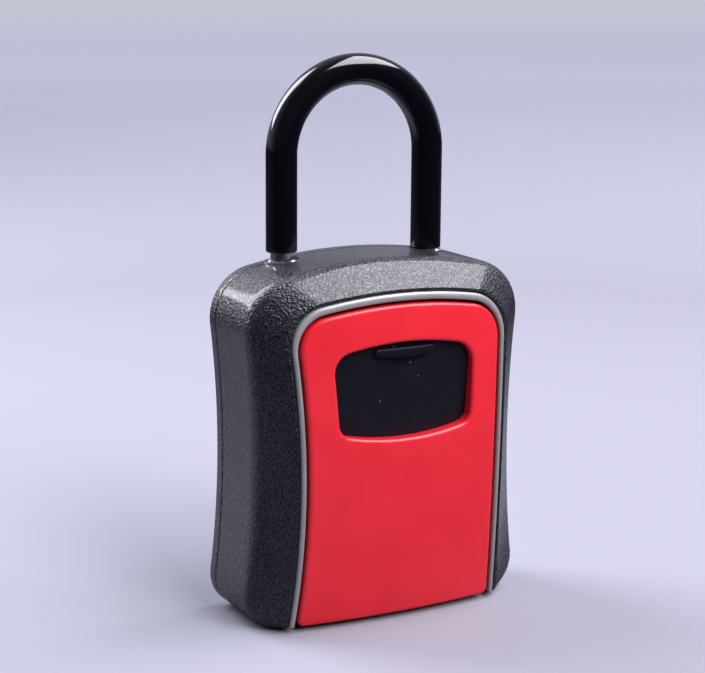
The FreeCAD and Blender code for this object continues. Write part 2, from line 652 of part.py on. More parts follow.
def shutter():
    """Sliding dial cover with a finger lip."""
    slab = plan_arch(SHUTTER_RECESS, SHUTTER_HALF, SHUTTER_Z)
    slab = slab.cut(plan_arch(SHUTTER_RECESS + SHUTTER_THICK, 60, (0, 120)))
    front = CROWN_Y + SHUTTER_RECESS
    lip = box((-LIP["half"], LIP["half"]), (front - LIP["reach"], front + 0.6), LIP["z"])
    lower = [e for e in lip.Edges if e.BoundBox.ZLength < 1e-6 and e.BoundBox.XLength > 1
             and e.BoundBox.ZMin < LIP["z"][0] + 0.1 and e.BoundBox.YMin < front - 1]
    lip = lip.makeChamfer(LIP["chamfer"], lower)
    return slab.fuse(lip).removeSplitter()


def dial(x):
    """Number wheel with a grip groove between digits."""
    left = x - DIAL_WIDTH / 2
    wheel = rod(DIAL_R, (left, DIAL_Y, DIAL_Z), (left + DIAL_WIDTH, DIAL_Y, DIAL_Z))
    ends = (left - 1, left + DIAL_WIDTH + 1)
    wheel = wheel.cut(rod(DIAL_BORE_R, (ends[0], DIAL_Y, DIAL_Z), (ends[1], DIAL_Y, DIAL_Z)))
    reach = DIAL_R + 0.25
    for i in range(KNURL_COUNT):
        angle = 2 * math.pi * (i + 0.5) / KNURL_COUNT
        y = DIAL_Y + reach * math.cos(angle)
        z = DIAL_Z + reach * math.sin(angle)
        wheel = wheel.cut(rod(KNURL_R, (ends[0], y, z), (ends[1], y, z)))
    return wheel


def code_sleeve(x):
    """Inner sleeve of one dial, with the gate that the code lines up."""
    half = CODE_SLEEVE_LENGTH / 2
    sleeve = rod(CODE_SLEEVE_R, (x - half, DIAL_Y, DIAL_Z), (x + half, DIAL_Y, DIAL_Z))
    ends = (x - half - 1, x + half + 1)
    sleeve = sleeve.cut(rod(AXLE_R + RUN_FIT, (ends[0], DIAL_Y, DIAL_Z), (ends[1], DIAL_Y, DIAL_Z)))
    return sleeve.cut(box(ends, (DIAL_Y - 1.0, DIAL_Y + 1.0), (DIAL_Z + 3.2, DIAL_Z + 6)))


def detent_spring():
    """Leaf with one finger under each dial."""
    z = (DIAL_POCKET_Z[0] + 0.2, DIAL_POCKET_Z[0] + 0.7)
    parts = [box((DIAL_POCKET_X[0] + 0.3, DIAL_POCKET_X[1] - 0.3), (-10.5, -4.0), z)]
    for i in range(DIAL_COUNT):
        x = DIAL_FIRST_X + i * DIAL_PITCH
        parts.append(rod(1.2, (x - 2, DIAL_Y, z[1]), (x + 2, DIAL_Y, z[1])))
    leaf = fuse(parts)
    return leaf.common(box((-40, 40), (-30, 10), (z[0], 90)))


def latch_bar():
    """Latch slide with the nose that catches the strike plate."""
    x = (LATCH_X - LATCH_HALF, LATCH_X + LATCH_HALF)
    front_y = -11.9
    bar = box(x, (front_y, -8.0), (71.0, LATCH_TOP_Z))
    nose = box(x, (front_y, 6.0), (LATCH_TOP_Z - 2.4, LATCH_TOP_Z))
    stem = box((LATCH_X - 1.5, LATCH_X + 1.5), (KNOB_Y[1], front_y), (80.0, 86.0))
    return fuse([bar, nose, stem])


def latch_knob():
    """Ribbed thumb piece on the latch, seen when the shutter is down."""
    knob = box((LATCH_X - 3.0, LATCH_X + 3.0), KNOB_Y, KNOB_Z)
    knob = knob.makeFillet(1.2, edges_along_y(knob))
    groove_y = KNOB_Y[0] - 0.1
    for i in range(5):
        z = KNOB_Z[0] + 3.0 + 2.0 * i
        knob = knob.cut(rod(0.5, (LATCH_X - 4, groove_y, z), (LATCH_X + 4, groove_y, z)))
    return knob


def latch_spring():
    """Folded flat spring under the latch bar, drawn pressed together."""
    half, folds, thick = 1.6, 6, 0.3
    low, high = SPRING_Z
    step = (high - low - thick) / folds
    y = (-11.0, -8.8)
    parts = []
    for i in range(folds + 1):
        z = low + i * step
        parts.append(box((LATCH_X - half, LATCH_X + half), y, (z, z + thick)))
        if i < folds:
            bend = LATCH_X + (half - thick if i % 2 else -half)
            parts.append(box((bend, bend + thick), y, (z, z + step)))
    return fuse(parts)


def reset_lever():
    """Code reset slide on the back of the door."""
    inner = box((-9.0, 3.0), (-1.6, 0.8), (62.0, 67.4))
    stem = box((-5.0, -1.0), (0.8, 2.8), (63.5, 65.9))
    knob = box((-6.5, 0.5), (2.8, 5.2), (61.5, 67.9))
    return fuse([inner, stem, knob.makeFillet(1.0, edges_along_y(knob))])


# ---------------------------------------------------------------- build
COVER_SEAT_Y = SEAM_Y - 4.0
BACK_SEAT_Y = CARRIER_Y[1] + COVER_THICK
STRIKE_SEAT_Y = GUIDE_Y[0] - STRIKE_THICK

save("rear_cover", rear_cover())
save("front_housing", front_housing())
save("trim_bezel", trim_bezel())
save("rear_cover_screws", screws(COVER_SCREWS, COVER_SEAT_Y, BACK_Y - 1.6))
save("hinge_pin", rod(HINGE_PIN_R, (-HINGE_PIN_HALF, HINGE_Y, HINGE_Z), (HINGE_PIN_HALF, HINGE_Y, HINGE_Z)))
save("key_hook", key_hook())
save("shackle_guide", shackle_guide())
save("guide_screws", guide_screws())
save("strike_plate", strike_plate())
save("strike_screws", screws(STRIKE_SCREWS, STRIKE_SEAT_Y, GUIDE_Y[0] + 4.5, SMALL_HEAD_R, SMALL_HEAD_HEIGHT))

save("shackle_bar", shackle_bar())
save("shackle_sleeve", shackle_sleeve())
save("shackle_clip", shackle_clip())
save("shackle_lock_plate", shackle_lock_plate())

save("door_skin", door_skin())
save("dial_plate", dial_plate())
save("dial_carrier", dial_carrier())
save("door_back_cover", door_back_cover())
save("back_cover_screws", screws(BACK_SCREWS, BACK_SEAT_Y, CARRIER_Y[1] - 6, SMALL_HEAD_R, SMALL_HEAD_HEIGHT))
save("plate_screws", screws(PLATE_SCREWS, PLATE_BACK_Y, PLATE_BACK_Y - PLATE_SHEET))
save("dial_axle", rod(AXLE_R, (AXLE_X[0], DIAL_Y, DIAL_Z), (AXLE_X[1], DIAL_Y, DIAL_Z)))
save("detent_spring", detent_spring())
save("shutter", shutter())
save("latch_bar", latch_bar())
save("latch_knob", latch_knob())
save("latch_spring", latch_spring())
save("reset_lever", reset_lever())
for number in range(DIAL_COUNT):
    centre = DIAL_FIRST_X + number * DIAL_PITCH
    save("dial_%d" % (number + 1), dial(centre))
    save("code_sleeve_%d" % (number + 1), code_sleeve(centre))
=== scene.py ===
"""Looks of the portable key lock box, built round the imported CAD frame.

The frame is in metres, +Z up, and the box faces -Y.  Shapes here are worked out in millimetres
and turned into metres when a mesh is made.
"""
import json
import math

import bmesh
import bpy
from mathutils import Matrix, Vector


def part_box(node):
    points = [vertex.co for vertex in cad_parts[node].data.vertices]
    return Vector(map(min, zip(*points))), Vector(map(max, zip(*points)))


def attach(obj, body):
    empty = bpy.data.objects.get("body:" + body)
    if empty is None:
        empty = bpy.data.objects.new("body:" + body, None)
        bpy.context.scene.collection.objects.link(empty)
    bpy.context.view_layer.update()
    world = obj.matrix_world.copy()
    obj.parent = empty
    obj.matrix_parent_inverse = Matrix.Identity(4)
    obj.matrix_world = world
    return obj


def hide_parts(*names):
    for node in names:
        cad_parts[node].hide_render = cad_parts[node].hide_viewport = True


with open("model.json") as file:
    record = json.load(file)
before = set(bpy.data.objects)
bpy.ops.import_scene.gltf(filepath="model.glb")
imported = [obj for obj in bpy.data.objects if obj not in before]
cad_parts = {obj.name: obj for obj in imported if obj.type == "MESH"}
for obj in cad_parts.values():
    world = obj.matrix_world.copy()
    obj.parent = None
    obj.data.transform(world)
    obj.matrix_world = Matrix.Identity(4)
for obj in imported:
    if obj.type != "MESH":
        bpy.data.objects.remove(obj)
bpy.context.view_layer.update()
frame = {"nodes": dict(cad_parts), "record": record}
MM = 0.001


def node_box(name):
    """Lowest and highest corner of a CAD node, in millimetres."""
    low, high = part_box(name)
    return low / MM, high / MM


# ---------------------------------------------------------------- sizes, from the frame where it says them
housing_high = node_box("front_housing")[1]
cover_high = node_box("rear_cover")[1]
skin_low = node_box("door_skin")[0]
sleeve_low, sleeve_high = node_box("shackle_sleeve")
shutter_low, shutter_high = node_box("shutter")

BACK_Y = cover_high.y
SEAM_Y = housing_high.y
CROWN_Y = skin_low.y          # foremost point of the door
CROWN_Z = 56.0                # and its height
PLAN_R = 250.0                # radius of the crown seen from above
SIDE_R = 300.0                # and from the side

# Waisted outlines, all built the same way: see outline().
BODY = dict(half=46.7, waist_z=56.0, waist_r=330.0, top=cover_high.z, dome_r=174.0,
            shoulder_r=16.5, bottom=0.0, corner_r=11.5)
FRAME = dict(half=36.4, waist_z=44.0, waist_r=530.0, top=106.8, dome_r=156.0,
             shoulder_r=13.5, bottom=1.9, corner_r=0.8)
CREASE_Y = -6.7               # where the side wall turns into the bevel
CREASE_SOFT = 2.6             # run on either side of the crease that rounds it off
WALL = 3.0
BACK_WALL = 2.2
COVER_EDGE_R = 1.8
SILL_Y = -4.0                 # front edge of the housing floor
CLEAR_Y = -30.0               # well in front of the door, for the tools that cut the opening
LIP_SOFT = 0.5                # rounding of the lip that the trim sits behind
LIP_LAND = 1.25
TRIM_DEPTH = 4.0
TRIM_GAP = 0.42
TRIM_WIDTH = 2.0
TRIM_TOP_WIDTH = 2.8
THROAT_INSET = TRIM_WIDTH + 0.2
SHUT_LINE = 1.0
SKIN = 1.8
DOOR_EDGE_R = 1.2
RIM_BACK_Y = -6.0
WINDOW = dict(top=91.3, top_half=25.0, bottom=61.0, bottom_half=23.4,
              top_r=95.0, bottom_r=100.0, upper_corner=6.5, lower_corner=4.5)
MOUTH_R = 1.3                 # rounding of the window's edge
COLLAR = 1.4                  # wall of the collar behind it
SHUTTER_RECESS = 4.6
SHUTTER_THICK = 1.2
SHUTTER_SOFT = 0.35
FINGER_HALF = 10.6
FINGER_TOP = 89.6
HINGE_Y = -9.0
HINGE_Z = 6.0
KNUCKLE_R = 3.4
KNUCKLE_HALF = 31.0
PIN_HOLE_R = 1.55
BOSSES = [(-24.0, 28.5), (24.0, 28.5)]
BOSS_R = 2.6
BOSS_BACK_Y = -14.0

SLEEVE_R = (sleeve_high.y - sleeve_low.y) / 2
SHACKLE_Y = (sleeve_high.y + sleeve_low.y) / 2
BOW_R = (sleeve_high.x - sleeve_low.x) / 2 - SLEEVE_R
BOW_Z = sleeve_high.z - BOW_R - SLEEVE_R
BAR_R = 3.5
LEFT_FOOT_Z = 116.5           # lower end of the sleeve on the long leg
LEGS_X = (-BOW_R, BOW_R)
BORE_R = BAR_R + 0.3
BORE_TOP_Z = 111.6            # the countersink runs from here
SOCKET_R = SLEEVE_R + 0.5
SOCKET_Z = 113.2              # to here

COVER_SCREWS = [(-31.0, 11.0), (31.0, 11.0), (-37.0, 87.0), (37.0, 87.0)]
EAR_HALF = 4.0
EAR_REACH_LOW = 47.7
EAR_REACH_HIGH = 46.5
GUIDE_POSTS_X = (-14.0, 14.0)
POST_R = 3.4
DIALS = 4
DIAL_R = 7.5
DIAL_BORE_R = 4.65

# Points along the floor, corner, waist, shoulder and dome of half an outline.
COUNTS = (14, 8, 36, 14, 22)


# ---------------------------------------------------------------- outlines in the XZ plane
def inset(dims, by, top=None):
    """The same outline drawn inside itself; the top may be set in by its own amount."""
    top = by if top is None else top
    return dict(dims, half=dims["half"] - by, waist_r=dims["waist_r"] + by,
                top=dims["top"] - top, dome_r=dims["dome_r"] - top,
                shoulder_r=dims["shoulder_r"] - by, bottom=dims["bottom"] + by,
                corner_r=max(dims["corner_r"] - by, 0.3))


def meet(c1, r1, c2, r2):
    """Upper crossing of two circles."""
    dx, dz = c2[0] - c1[0], c2[1] - c1[1]
    gap = math.hypot(dx, dz)
    along = (r1 * r1 - r2 * r2 + gap * gap) / (2 * gap)
    side = math.sqrt(r1 * r1 - along * along)
    crossings = [(c1[0] + (along * dx - s * side * dz) / gap,
                  c1[1] + (along * dz + s * side * dx) / gap) for s in (1, -1)]
    return max(crossings, key=lambda point: point[1])


def towards(centre, radius, other):
    """Point on a circle in the direction of another point."""
    dx, dz = other[0] - centre[0], other[1] - centre[1]
    gap = math.hypot(dx, dz)
    return (centre[0] + radius * dx / gap, centre[1] + radius * dz / gap)


def outline(dims):
    """Right half as arcs from the floor to the top: (centre, radius, start, end)."""
    waist = (dims["half"] + dims["waist_r"], dims["waist_z"])
    dome = (0.0, dims["top"] - dims["dome_r"])
    corner_z = dims["bottom"] + dims["corner_r"]
    reach = dims["waist_r"] + dims["corner_r"]
    corner = (waist[0] - math.sqrt(reach ** 2 - (waist[1] - corner_z) ** 2), corner_z)
    shoulder = meet(dome, dims["dome_r"] - dims["shoulder_r"],
                    waist, dims["waist_r"] + dims["shoulder_r"])
    foot = (corner[0], dims["bottom"])
    low = towards(waist, dims["waist_r"], corner)
    high = towards(waist, dims["waist_r"], shoulder)
    bend = towards(dome, dims["dome_r"], shoulder)
    crest = (0.0, dims["top"])
    return [(corner, dims["corner_r"], foot, low), (waist, dims["waist_r"], low, high),
            (shoulder, dims["shoulder_r"], high, bend), (dome, dims["dome_r"], bend, crest)]


def arc_points(centre, radius, start, end, count):
    """Points along one arc, from its start up to but without its end."""
    a0 = math.atan2(start[1] - centre[1], start[0] - centre[0])
    a1 = math.atan2(end[1] - centre[1], end[0] - centre[0])
    turn = (a1 - a0 + math.pi) % (2 * math.pi) - math.pi
    angles = [a0 + turn * i / count for i in range(count)]
    return [(centre[0] + radius * math.cos(a), centre[1] + radius * math.sin(a)) for a in angles]


def line_points(start, end, count):
    """Points along a straight run, from its start up to but without its end."""
    return [(start[0] + (end[0] - start[0]) * i / count,
             start[1] + (end[1] - start[1]) * i / count) for i in range(count)]


def whole(half, crest):
    """Closed run from the right half, which starts at bottom centre, and the top centre."""
    return half + [crest] + [(-x, z) for x, z in reversed(half[1:])]


def loop(dims):
    """Closed run of points round an outline, the same number for every outline."""
    arcs = outline(dims)
    half = line_points((0.0, dims["bottom"]), arcs[0][2], COUNTS[0])
    for arc, count in zip(arcs, COUNTS[1:]):
        half += arc_points(*arc, count)
    return whole(half, (0.0, dims["top"]))


def open_run(dims, foot_z):
    """Open run from the right foot over the top to the left foot."""
    waist, shoulder, dome = outline(dims)[1:]
    centre, radius, _, high = waist
    foot = (centre[0] - math.sqrt(radius ** 2 - (foot_z - centre[1]) ** 2), foot_z)
    half = arc_points(centre, radius, foot, high, 48)
    half += arc_points(*shoulder, 18)
    half += arc_points(*dome, 26)
    return half + [(0.0, dims["top"])] + [(-x, z) for x, z in reversed(half)]


def window_loop(grow):
    """Closed run round the window, set outwards by grow, matched in count to loop()."""
    w = WINDOW
    top_c = (0.0, w["top"] - w["top_r"])
    bottom_c = (0.0, w["bottom"] + w["bottom_r"])
    a = Vector((w["top_half"], w["top"] - w["top_half"] ** 2 / (2 * w["top_r"])))
    b = Vector((w["bottom_half"], w["bottom"] + w["bottom_half"] ** 2 / (2 * w["bottom_r"])))
    along = (a - b).normalized()
    outward = Vector((along.y, -along.x))

    def corner_centre(radius, arc_c, arc_r, upper):
        """Centre of a corner tangent to the side line and, from inside, to the top or bottom arc."""
        base = b - outward * radius
        rel = base - Vector(arc_c)
        half_b = rel.dot(along)
        root = math.sqrt(half_b ** 2 - (rel.length_squared - (arc_r - radius) ** 2))
        return base + along * (-half_b + (root if upper else -root))

    low_c = corner_centre(w["lower_corner"], bottom_c, w["bottom_r"], False)
    high_c = corner_centre(w["upper_corner"], top_c, w["top_r"], True)
    low_r, high_r = w["lower_corner"] + grow, w["upper_corner"] + grow
    low_in = towards(bottom_c, w["bottom_r"] + grow, low_c)
    low_out = low_c + outward * low_r
    high_in = high_c + outward * high_r
    high_out = towards(top_c, w["top_r"] + grow, high_c)
    crest = (0.0, w["top"] + grow)
    half = arc_points(bottom_c, w["bottom_r"] + grow, (0.0, w["bottom"] - grow), low_in, COUNTS[0])
    half += arc_points(low_c, low_r, low_in, low_out, COUNTS[1])
    half += line_points(low_out, high_in, COUNTS[2])
    half += arc_points(high_c, high_r, high_in, high_out, COUNTS[3])
    half += arc_points(top_c, w["top_r"] + grow, high_out, crest, COUNTS[4])
    return whole(half, crest)


def crown_y(x, z):
    """Depth of the crowned front at a place on it."""
    drop = SIDE_R - math.sqrt(SIDE_R ** 2 - (z - CROWN_Z) ** 2)
    radius = PLAN_R - drop
    return CROWN_Y + PLAN_R - math.sqrt(radius ** 2 - x * x)


def plan_y(x, depth):
    """Depth of the upright arched surface that lies depth behind the crown."""
    radius = PLAN_R - depth
    return CROWN_Y + PLAN_R - math.sqrt(radius ** 2 - x * x)


def on_crown(points, depth):
    """Points lifted onto the crowned front, moved back by depth."""
    return [Vector((x, crown_y(x, z) + depth, z)) for x, z in points]


def on_plan(points, depth):
    """Points lifted onto the upright arched surface."""
    return [Vector((x, plan_y(x, depth), z)) for x, z in points]


def at_y(points, y):
    """Points laid in an upright plane."""
    return [Vector((x, y, z)) for x, z in points]


def between(start, end, share):
    """Points part of the way from one run to a matched one."""
    return [(p[0] + (q[0] - p[0]) * share, p[1] + (q[1] - p[1]) * share) for p, q in zip(start, end)]


def quarter(steps):
    """Angles from 0 to a right angle."""
    return [math.pi / 2 * i / steps for i in range(steps + 1)]


def full_turn(steps):
    """Angles once round, without the last, which is the first again."""
    return [2 * math.pi * i / steps for i in range(steps)]


def blend_rows(near, far, count):
    """Rows strictly between two matched rows."""
    return [[p.lerp(q, i / (count + 1)) for p, q in zip(near, far)] for i in range(1, count + 1)]


def rounded(before, corner, after, count):
    """Rows that round a corner row off, from before to after."""
    rows = []
    for i in range(count + 1):
        t = i / count
        rows.append([a * (1 - t) ** 2 + c * (2 * t * (1 - t)) + b * t ** 2
                     for a, c, b in zip(before, corner, after)])
    return rows


# ---------------------------------------------------------------- meshes
def make(name, build, smooth_angle=35.0):
    """Object from a bmesh filled by build(), with sharp edges above an angle."""
    bm = bmesh.new()
    build(bm)
    bmesh.ops.remove_doubles(bm, verts=bm.verts, dist=1e-4)
    bmesh.ops.recalc_face_normals(bm, faces=bm.faces)
    bmesh.ops.scale(bm, verts=bm.verts, vec=(MM, MM, MM))
    mesh = bpy.data.meshes.new(name)
    bm.to_mesh(mesh)
    bm.free()
    mesh.shade_smooth()
    mesh.set_sharp_from_angle(angle=math.radians(smooth_angle))
    made = bpy.data.objects.new(name, mesh)
    bpy.context.scene.collection.objects.link(made)
    return made


def lay(bm, rows, around=True, shut=False, caps=False):
    """Quads between rows of points.

    around joins each row's ends, shut joins the last row to the first, caps closes both ends.
    """
    made = [[bm.verts.new(p) for p in row] for row in rows]
    count = len(rows[0])
    pairs = list(zip(made, made[1:]))
    if shut:
        pairs.append((made[-1], made[0]))
    for near, far in pairs:
        for i in range(count if around else count - 1):
            j = (i + 1) % count
            bm.faces.new((near[i], near[j], far[j], far[i]))
    if caps:
        bm.faces.new(list(reversed(made[0])))
        bm.faces.new(made[-1])
    return made


def turned(bm, profile, centre, axis, steps=32):
    """Lathe shape with flat ends; profile is (along, radius) points."""
    rows = []
    for along, radius in profile:
        row = []
        for a in full_turn(steps):
            c, s = radius * math.cos(a), radius * math.sin(a)
            offset = {"x": (along, c, s), "y": (c, along, s), "z": (c, s, along)}[axis]
            row.append(Vector(centre) + Vector(offset))
        rows.append(row)
    lay(bm, rows, caps=True)


def cut(target, tool, operation="DIFFERENCE"):
    """Boolean on a mesh object; the tool is used up."""
    modifier = target.modifiers.new("cut", "BOOLEAN")
    modifier.operation = operation
    modifier.solver = "EXACT"
    modifier.object = tool
    bpy.context.view_layer.update()
    evaluated = target.evaluated_get(bpy.context.evaluated_depsgraph_get())
    mesh = bpy.data.meshes.new_from_object(evaluated)
    target.modifiers.clear()
    target.data = mesh
    bpy.data.objects.remove(tool)
    mesh.shade_smooth()
    mesh.set_sharp_from_angle(angle=math.radians(35))


def bore_tool():
    """Tool that cuts the two shackle bores with their countersinks and sockets."""
    profile = [(104.0, BORE_R), (BORE_TOP_Z, BORE_R), (SOCKET_Z, SOCKET_R), (125.0, SOCKET_R)]

    def build(bm):
        for x in LEGS_X:
            turned(bm, profile, (x, SHACKLE_Y, 0), "z", 64)
    return make("tool", build)


def housing_outside(bm):
    """Side wall, rounded crease and bevel, run on past the lip and closed in front."""
    side = loop(BODY)
    lip = on_crown(loop(FRAME), 0.0)
    corner = at_y(side, CREASE_Y)
    before = at_y(side, CREASE_Y + CREASE_SOFT)
    aim = [(f - c).normalized() for c, f in zip(corner, lip)]
    after = [c + d * CREASE_SOFT for c, d in zip(corner, aim)]
    past = [f + d * 2.0 for f, d in zip(lip, aim)]
    rows = [at_y(side, SEAM_Y), at_y(side, SEAM_Y - 0.35)]
    rows += blend_rows(rows[-1], before, 7)
    rows += rounded(before, corner, after, 6)
    rows += blend_rows(after, lip, 9)
    rows += [lip, past, [Vector((p.x, CLEAR_Y, p.z)) for p in past]]
    lay(bm, rows, caps=True)


def housing_inside(bm):
    """Compartment, inner bevel, throat, seat of the trim and a softened lip with a narrow land."""
    room = loop(inset(BODY, WALL))
    seat = on_crown(loop(inset(FRAME, THROAT_INSET)), TRIM_DEPTH)
    throat = [Vector((p.x, max(-13.0, p.y + 0.4), p.z)) for p in seat]
    rows = [at_y(room, SEAM_Y + 1.0), at_y(room, CREASE_Y + 2.2), throat, seat]
    rows.append(on_crown(loop(FRAME), TRIM_DEPTH))
    for a in quarter(4):
        grown = loop(inset(FRAME, -LIP_SOFT * (1 - math.cos(a))))
        rows.append(on_crown(grown, LIP_LAND - LIP_SOFT * math.sin(a)))
    outside = loop(inset(FRAME, -1.6))
    rows.append(on_crown(outside, LIP_LAND - LIP_SOFT - 0.05))
    rows.append(at_y(outside, CLEAR_Y - 1.0))
    lay(bm, rows, caps=True)


def housing_notch(bm):
    """Opens the throat downwards in front of the housing floor."""
    below = loop(dict(inset(FRAME, THROAT_INSET + 0.05), bottom=-3.0))
    lay(bm, [at_y(below, SILL_Y), at_y(below, CLEAR_Y - 2.0)], caps=True)


def socket_notch(bm):
    """Opens the seat of the trim downwards."""
    below = loop(dict(inset(FRAME, 0.05), bottom=-2.0))
    lay(bm, [on_crown(below, TRIM_DEPTH - 0.05), at_y(below, CLEAR_Y - 3.0)], caps=True)


def housing_ears(bm):
    """Ears for the cover screws and posts for the guide screws."""
    for x, z in COVER_SCREWS:
        outer = math.copysign(EAR_REACH_LOW if z < CROWN_Z else EAR_REACH_HIGH, x)
        inner = x - math.copysign(EAR_HALF, x)
        low, high = z - EAR_HALF, z + EAR_HALF
        corners = [(inner, low), (outer, low), (outer, high), (inner, high)]
        lay(bm, [at_y(corners, SEAM_Y - 4.0), at_y(corners, SEAM_Y - 0.05)], caps=True)
    for x in GUIDE_POSTS_X:
        turned(bm, [(109.0, POST_R), (114.0, POST_R)], (x, SHACKLE_Y - 2.5, 0), "z")


def front_housing():
    """Cast shell with its compartment, door opening, screw ears and shackle bores."""
    made = make("housing_shell", housing_outside)
    for opening in (housing_inside, housing_notch, socket_notch):
        cut(made, make("tool", opening))
    cut(made, make("tool", housing_ears), "UNION")
    cut(made, bore_tool())
    return made


def hole_rims():
    """Bare metal left by the countersink of the two shackle holes, as thin rings on the cone."""
    profile = [(BORE_R + 0.02, BORE_TOP_Z), (SOCKET_R - 0.08, SOCKET_Z - 0.04),
               (SOCKET_R - 0.06, SOCKET_Z + 0.55), (SOCKET_R + 0.03, SOCKET_Z + 0.55),
               (SOCKET_R + 0.03, SOCKET_Z - 0.10), (BORE_R + 0.12, BORE_TOP_Z - 0.10)]

    def build(bm):
        for x in LEGS_X:
            rows = [[Vector((x + r * math.cos(a), SHACKLE_Y + r * math.sin(a), z)) for a in full_turn(64)]
                    for r, z in profile]
            lay(bm, rows, shut=True)
    return make("hole_rims", build)


def rear_cover():
    """Shallow tray with a rounded back edge and the shadow groove along the seam."""
    def build(bm):
        inner_back = BACK_Y - BACK_WALL
        steps = [(9.0, BACK_Y), (3.0, BACK_Y)]
        for a in quarter(6):
            steps.append((COVER_EDGE_R * (1 - math.sin(a)), BACK_Y - COVER_EDGE_R * (1 - math.cos(a))))
        steps += [(0.0, SEAM_Y + 1.6), (0.0, SEAM_Y + 0.9), (0.09, SEAM_Y + 0.69), (0.3, SEAM_Y + 0.6),
                  (0.6, SEAM_Y + 0.6), (0.6, SEAM_Y), (WALL, SEAM_Y), (WALL, inner_back - 0.6),
                  (WALL + 0.6, inner_back), (9.0, inner_back)]
        lay(bm, [at_y(loop(inset(BODY, by)), y) for by, y in steps], caps=True)

    def posts(bm):
        for x, z in COVER_SCREWS:
            turned(bm, [(SEAM_Y + 0.02, 3.9), (BACK_Y - 1.0, 3.9)], (x, 0, z), "y")

    made = make("back_shell", build)
    cut(made, make("tool", posts), "UNION")
    cut(made, bore_tool())
    return made


def trim_bezel():
    """Satin strip round three sides of the door, with a softly rounded crest and cut feet."""
    def build(bm):
        # Section as (share of the width, depth behind the crown).
        section = [(0.0, 3.9), (0.0, 1.4)]
        for i in range(1, 12):
            t = math.pi * i / 12
            section.append(((1 - math.cos(t)) / 2, 0.12 + 0.95 * (1 - math.sin(t) ** 0.8)))
        section += [(1.0, 1.4), (1.0, 3.9)]
        rows = []
        for share, depth in section:
            side = TRIM_GAP + share * (TRIM_WIDTH - TRIM_GAP)
            top = TRIM_GAP + share * (TRIM_TOP_WIDTH - TRIM_GAP)
            rows.append(on_crown(open_run(inset(FRAME, side, top), FRAME["bottom"] + 0.1), depth))
        made = lay(bm, rows, around=False, shut=True)
        bm.faces.new([row[0] for row in made])
        bm.faces.new([row[-1] for row in reversed(made)])
    return make("trim_strip", build, 50)


def door_dims():
    """Outline of the door, one shut line inside the trim."""
    side = TRIM_WIDTH + SHUT_LINE
    return dict(inset(FRAME, side, TRIM_TOP_WIDTH + SHUT_LINE), bottom=FRAME["bottom"], corner_r=2.0)


def door_panel():
    """Painted pan: crowned front, rounded edge, rim, and a window with a softened mouth and collar."""
    outer = door_dims()
    inside = loop(inset(outer, SKIN))
    collar = window_loop(COLLAR)

    def rim(by):
        return [Vector((x, HINGE_Y if z < HINGE_Z else RIM_BACK_Y, z)) for x, z in loop(inset(outer, by))]

    def build(bm):
        rows = [rim(SKIN), rim(0.0), on_crown(loop(outer), 3.0)]
        for a in quarter(7):
            edge = loop(inset(outer, DOOR_EDGE_R * (1 - math.cos(a))))
            rows.append(on_crown(edge, DOOR_EDGE_R * (1 - math.sin(a))))
        front = loop(inset(outer, DOOR_EDGE_R))
        rows += [on_crown(between(front, window_loop(MOUTH_R), i / 17), 0.0) for i in range(1, 17)]
        for a in quarter(7):
            mouth = window_loop(MOUTH_R * (1 - math.sin(a)))
            rows.append(on_crown(mouth, MOUTH_R * (1 - math.cos(a))))
        hem = SHUTTER_RECESS - 0.35
        rows += [on_plan(window_loop(0.0), hem), on_plan(collar, hem), on_crown(collar, SKIN)]
        rows += [on_crown(between(collar, inside, i / 9), SKIN) for i in range(1, 9)]
        rows.append(on_crown(inside, SKIN))
        lay(bm, rows, shut=True)
    return make("door_panel", build)


def door_knuckle():
    """Hinge barrel with the web that joins it to the front, and the bosses of the dial plate."""
    web_z = (HINGE_Z - 2.5, HINGE_Z + 2.4)

    def build(bm):
        rows = []
        for i in range(25):
            x = -KNUCKLE_HALF + 2 * KNUCKLE_HALF * i / 24
            row = [Vector((x, crown_y(x, z) + 1.0, z)) for z in web_z]
            for k in range(19):
                a = math.radians(135 - 270 * k / 18)
                y, z = HINGE_Y + KNUCKLE_R * math.cos(a), HINGE_Z + KNUCKLE_R * math.sin(a)
                row.append(Vector((x, y, z)))
            rows.append(row)
        lay(bm, rows, caps=True)

    def pin_hole(bm):
        turned(bm, [(-40, PIN_HOLE_R), (40, PIN_HOLE_R)], (0, HINGE_Y, HINGE_Z), "x")

    def bosses(bm):
        for x, z in BOSSES:
            turned(bm, [(CROWN_Y + 3.4, BOSS_R), (BOSS_BACK_Y, BOSS_R)], (x, 0, z), "y")

    made = make("door_knuckle", build)
    cut(made, make("tool", pin_hole))
    cut(made, make("tool", bosses), "UNION")
    return made


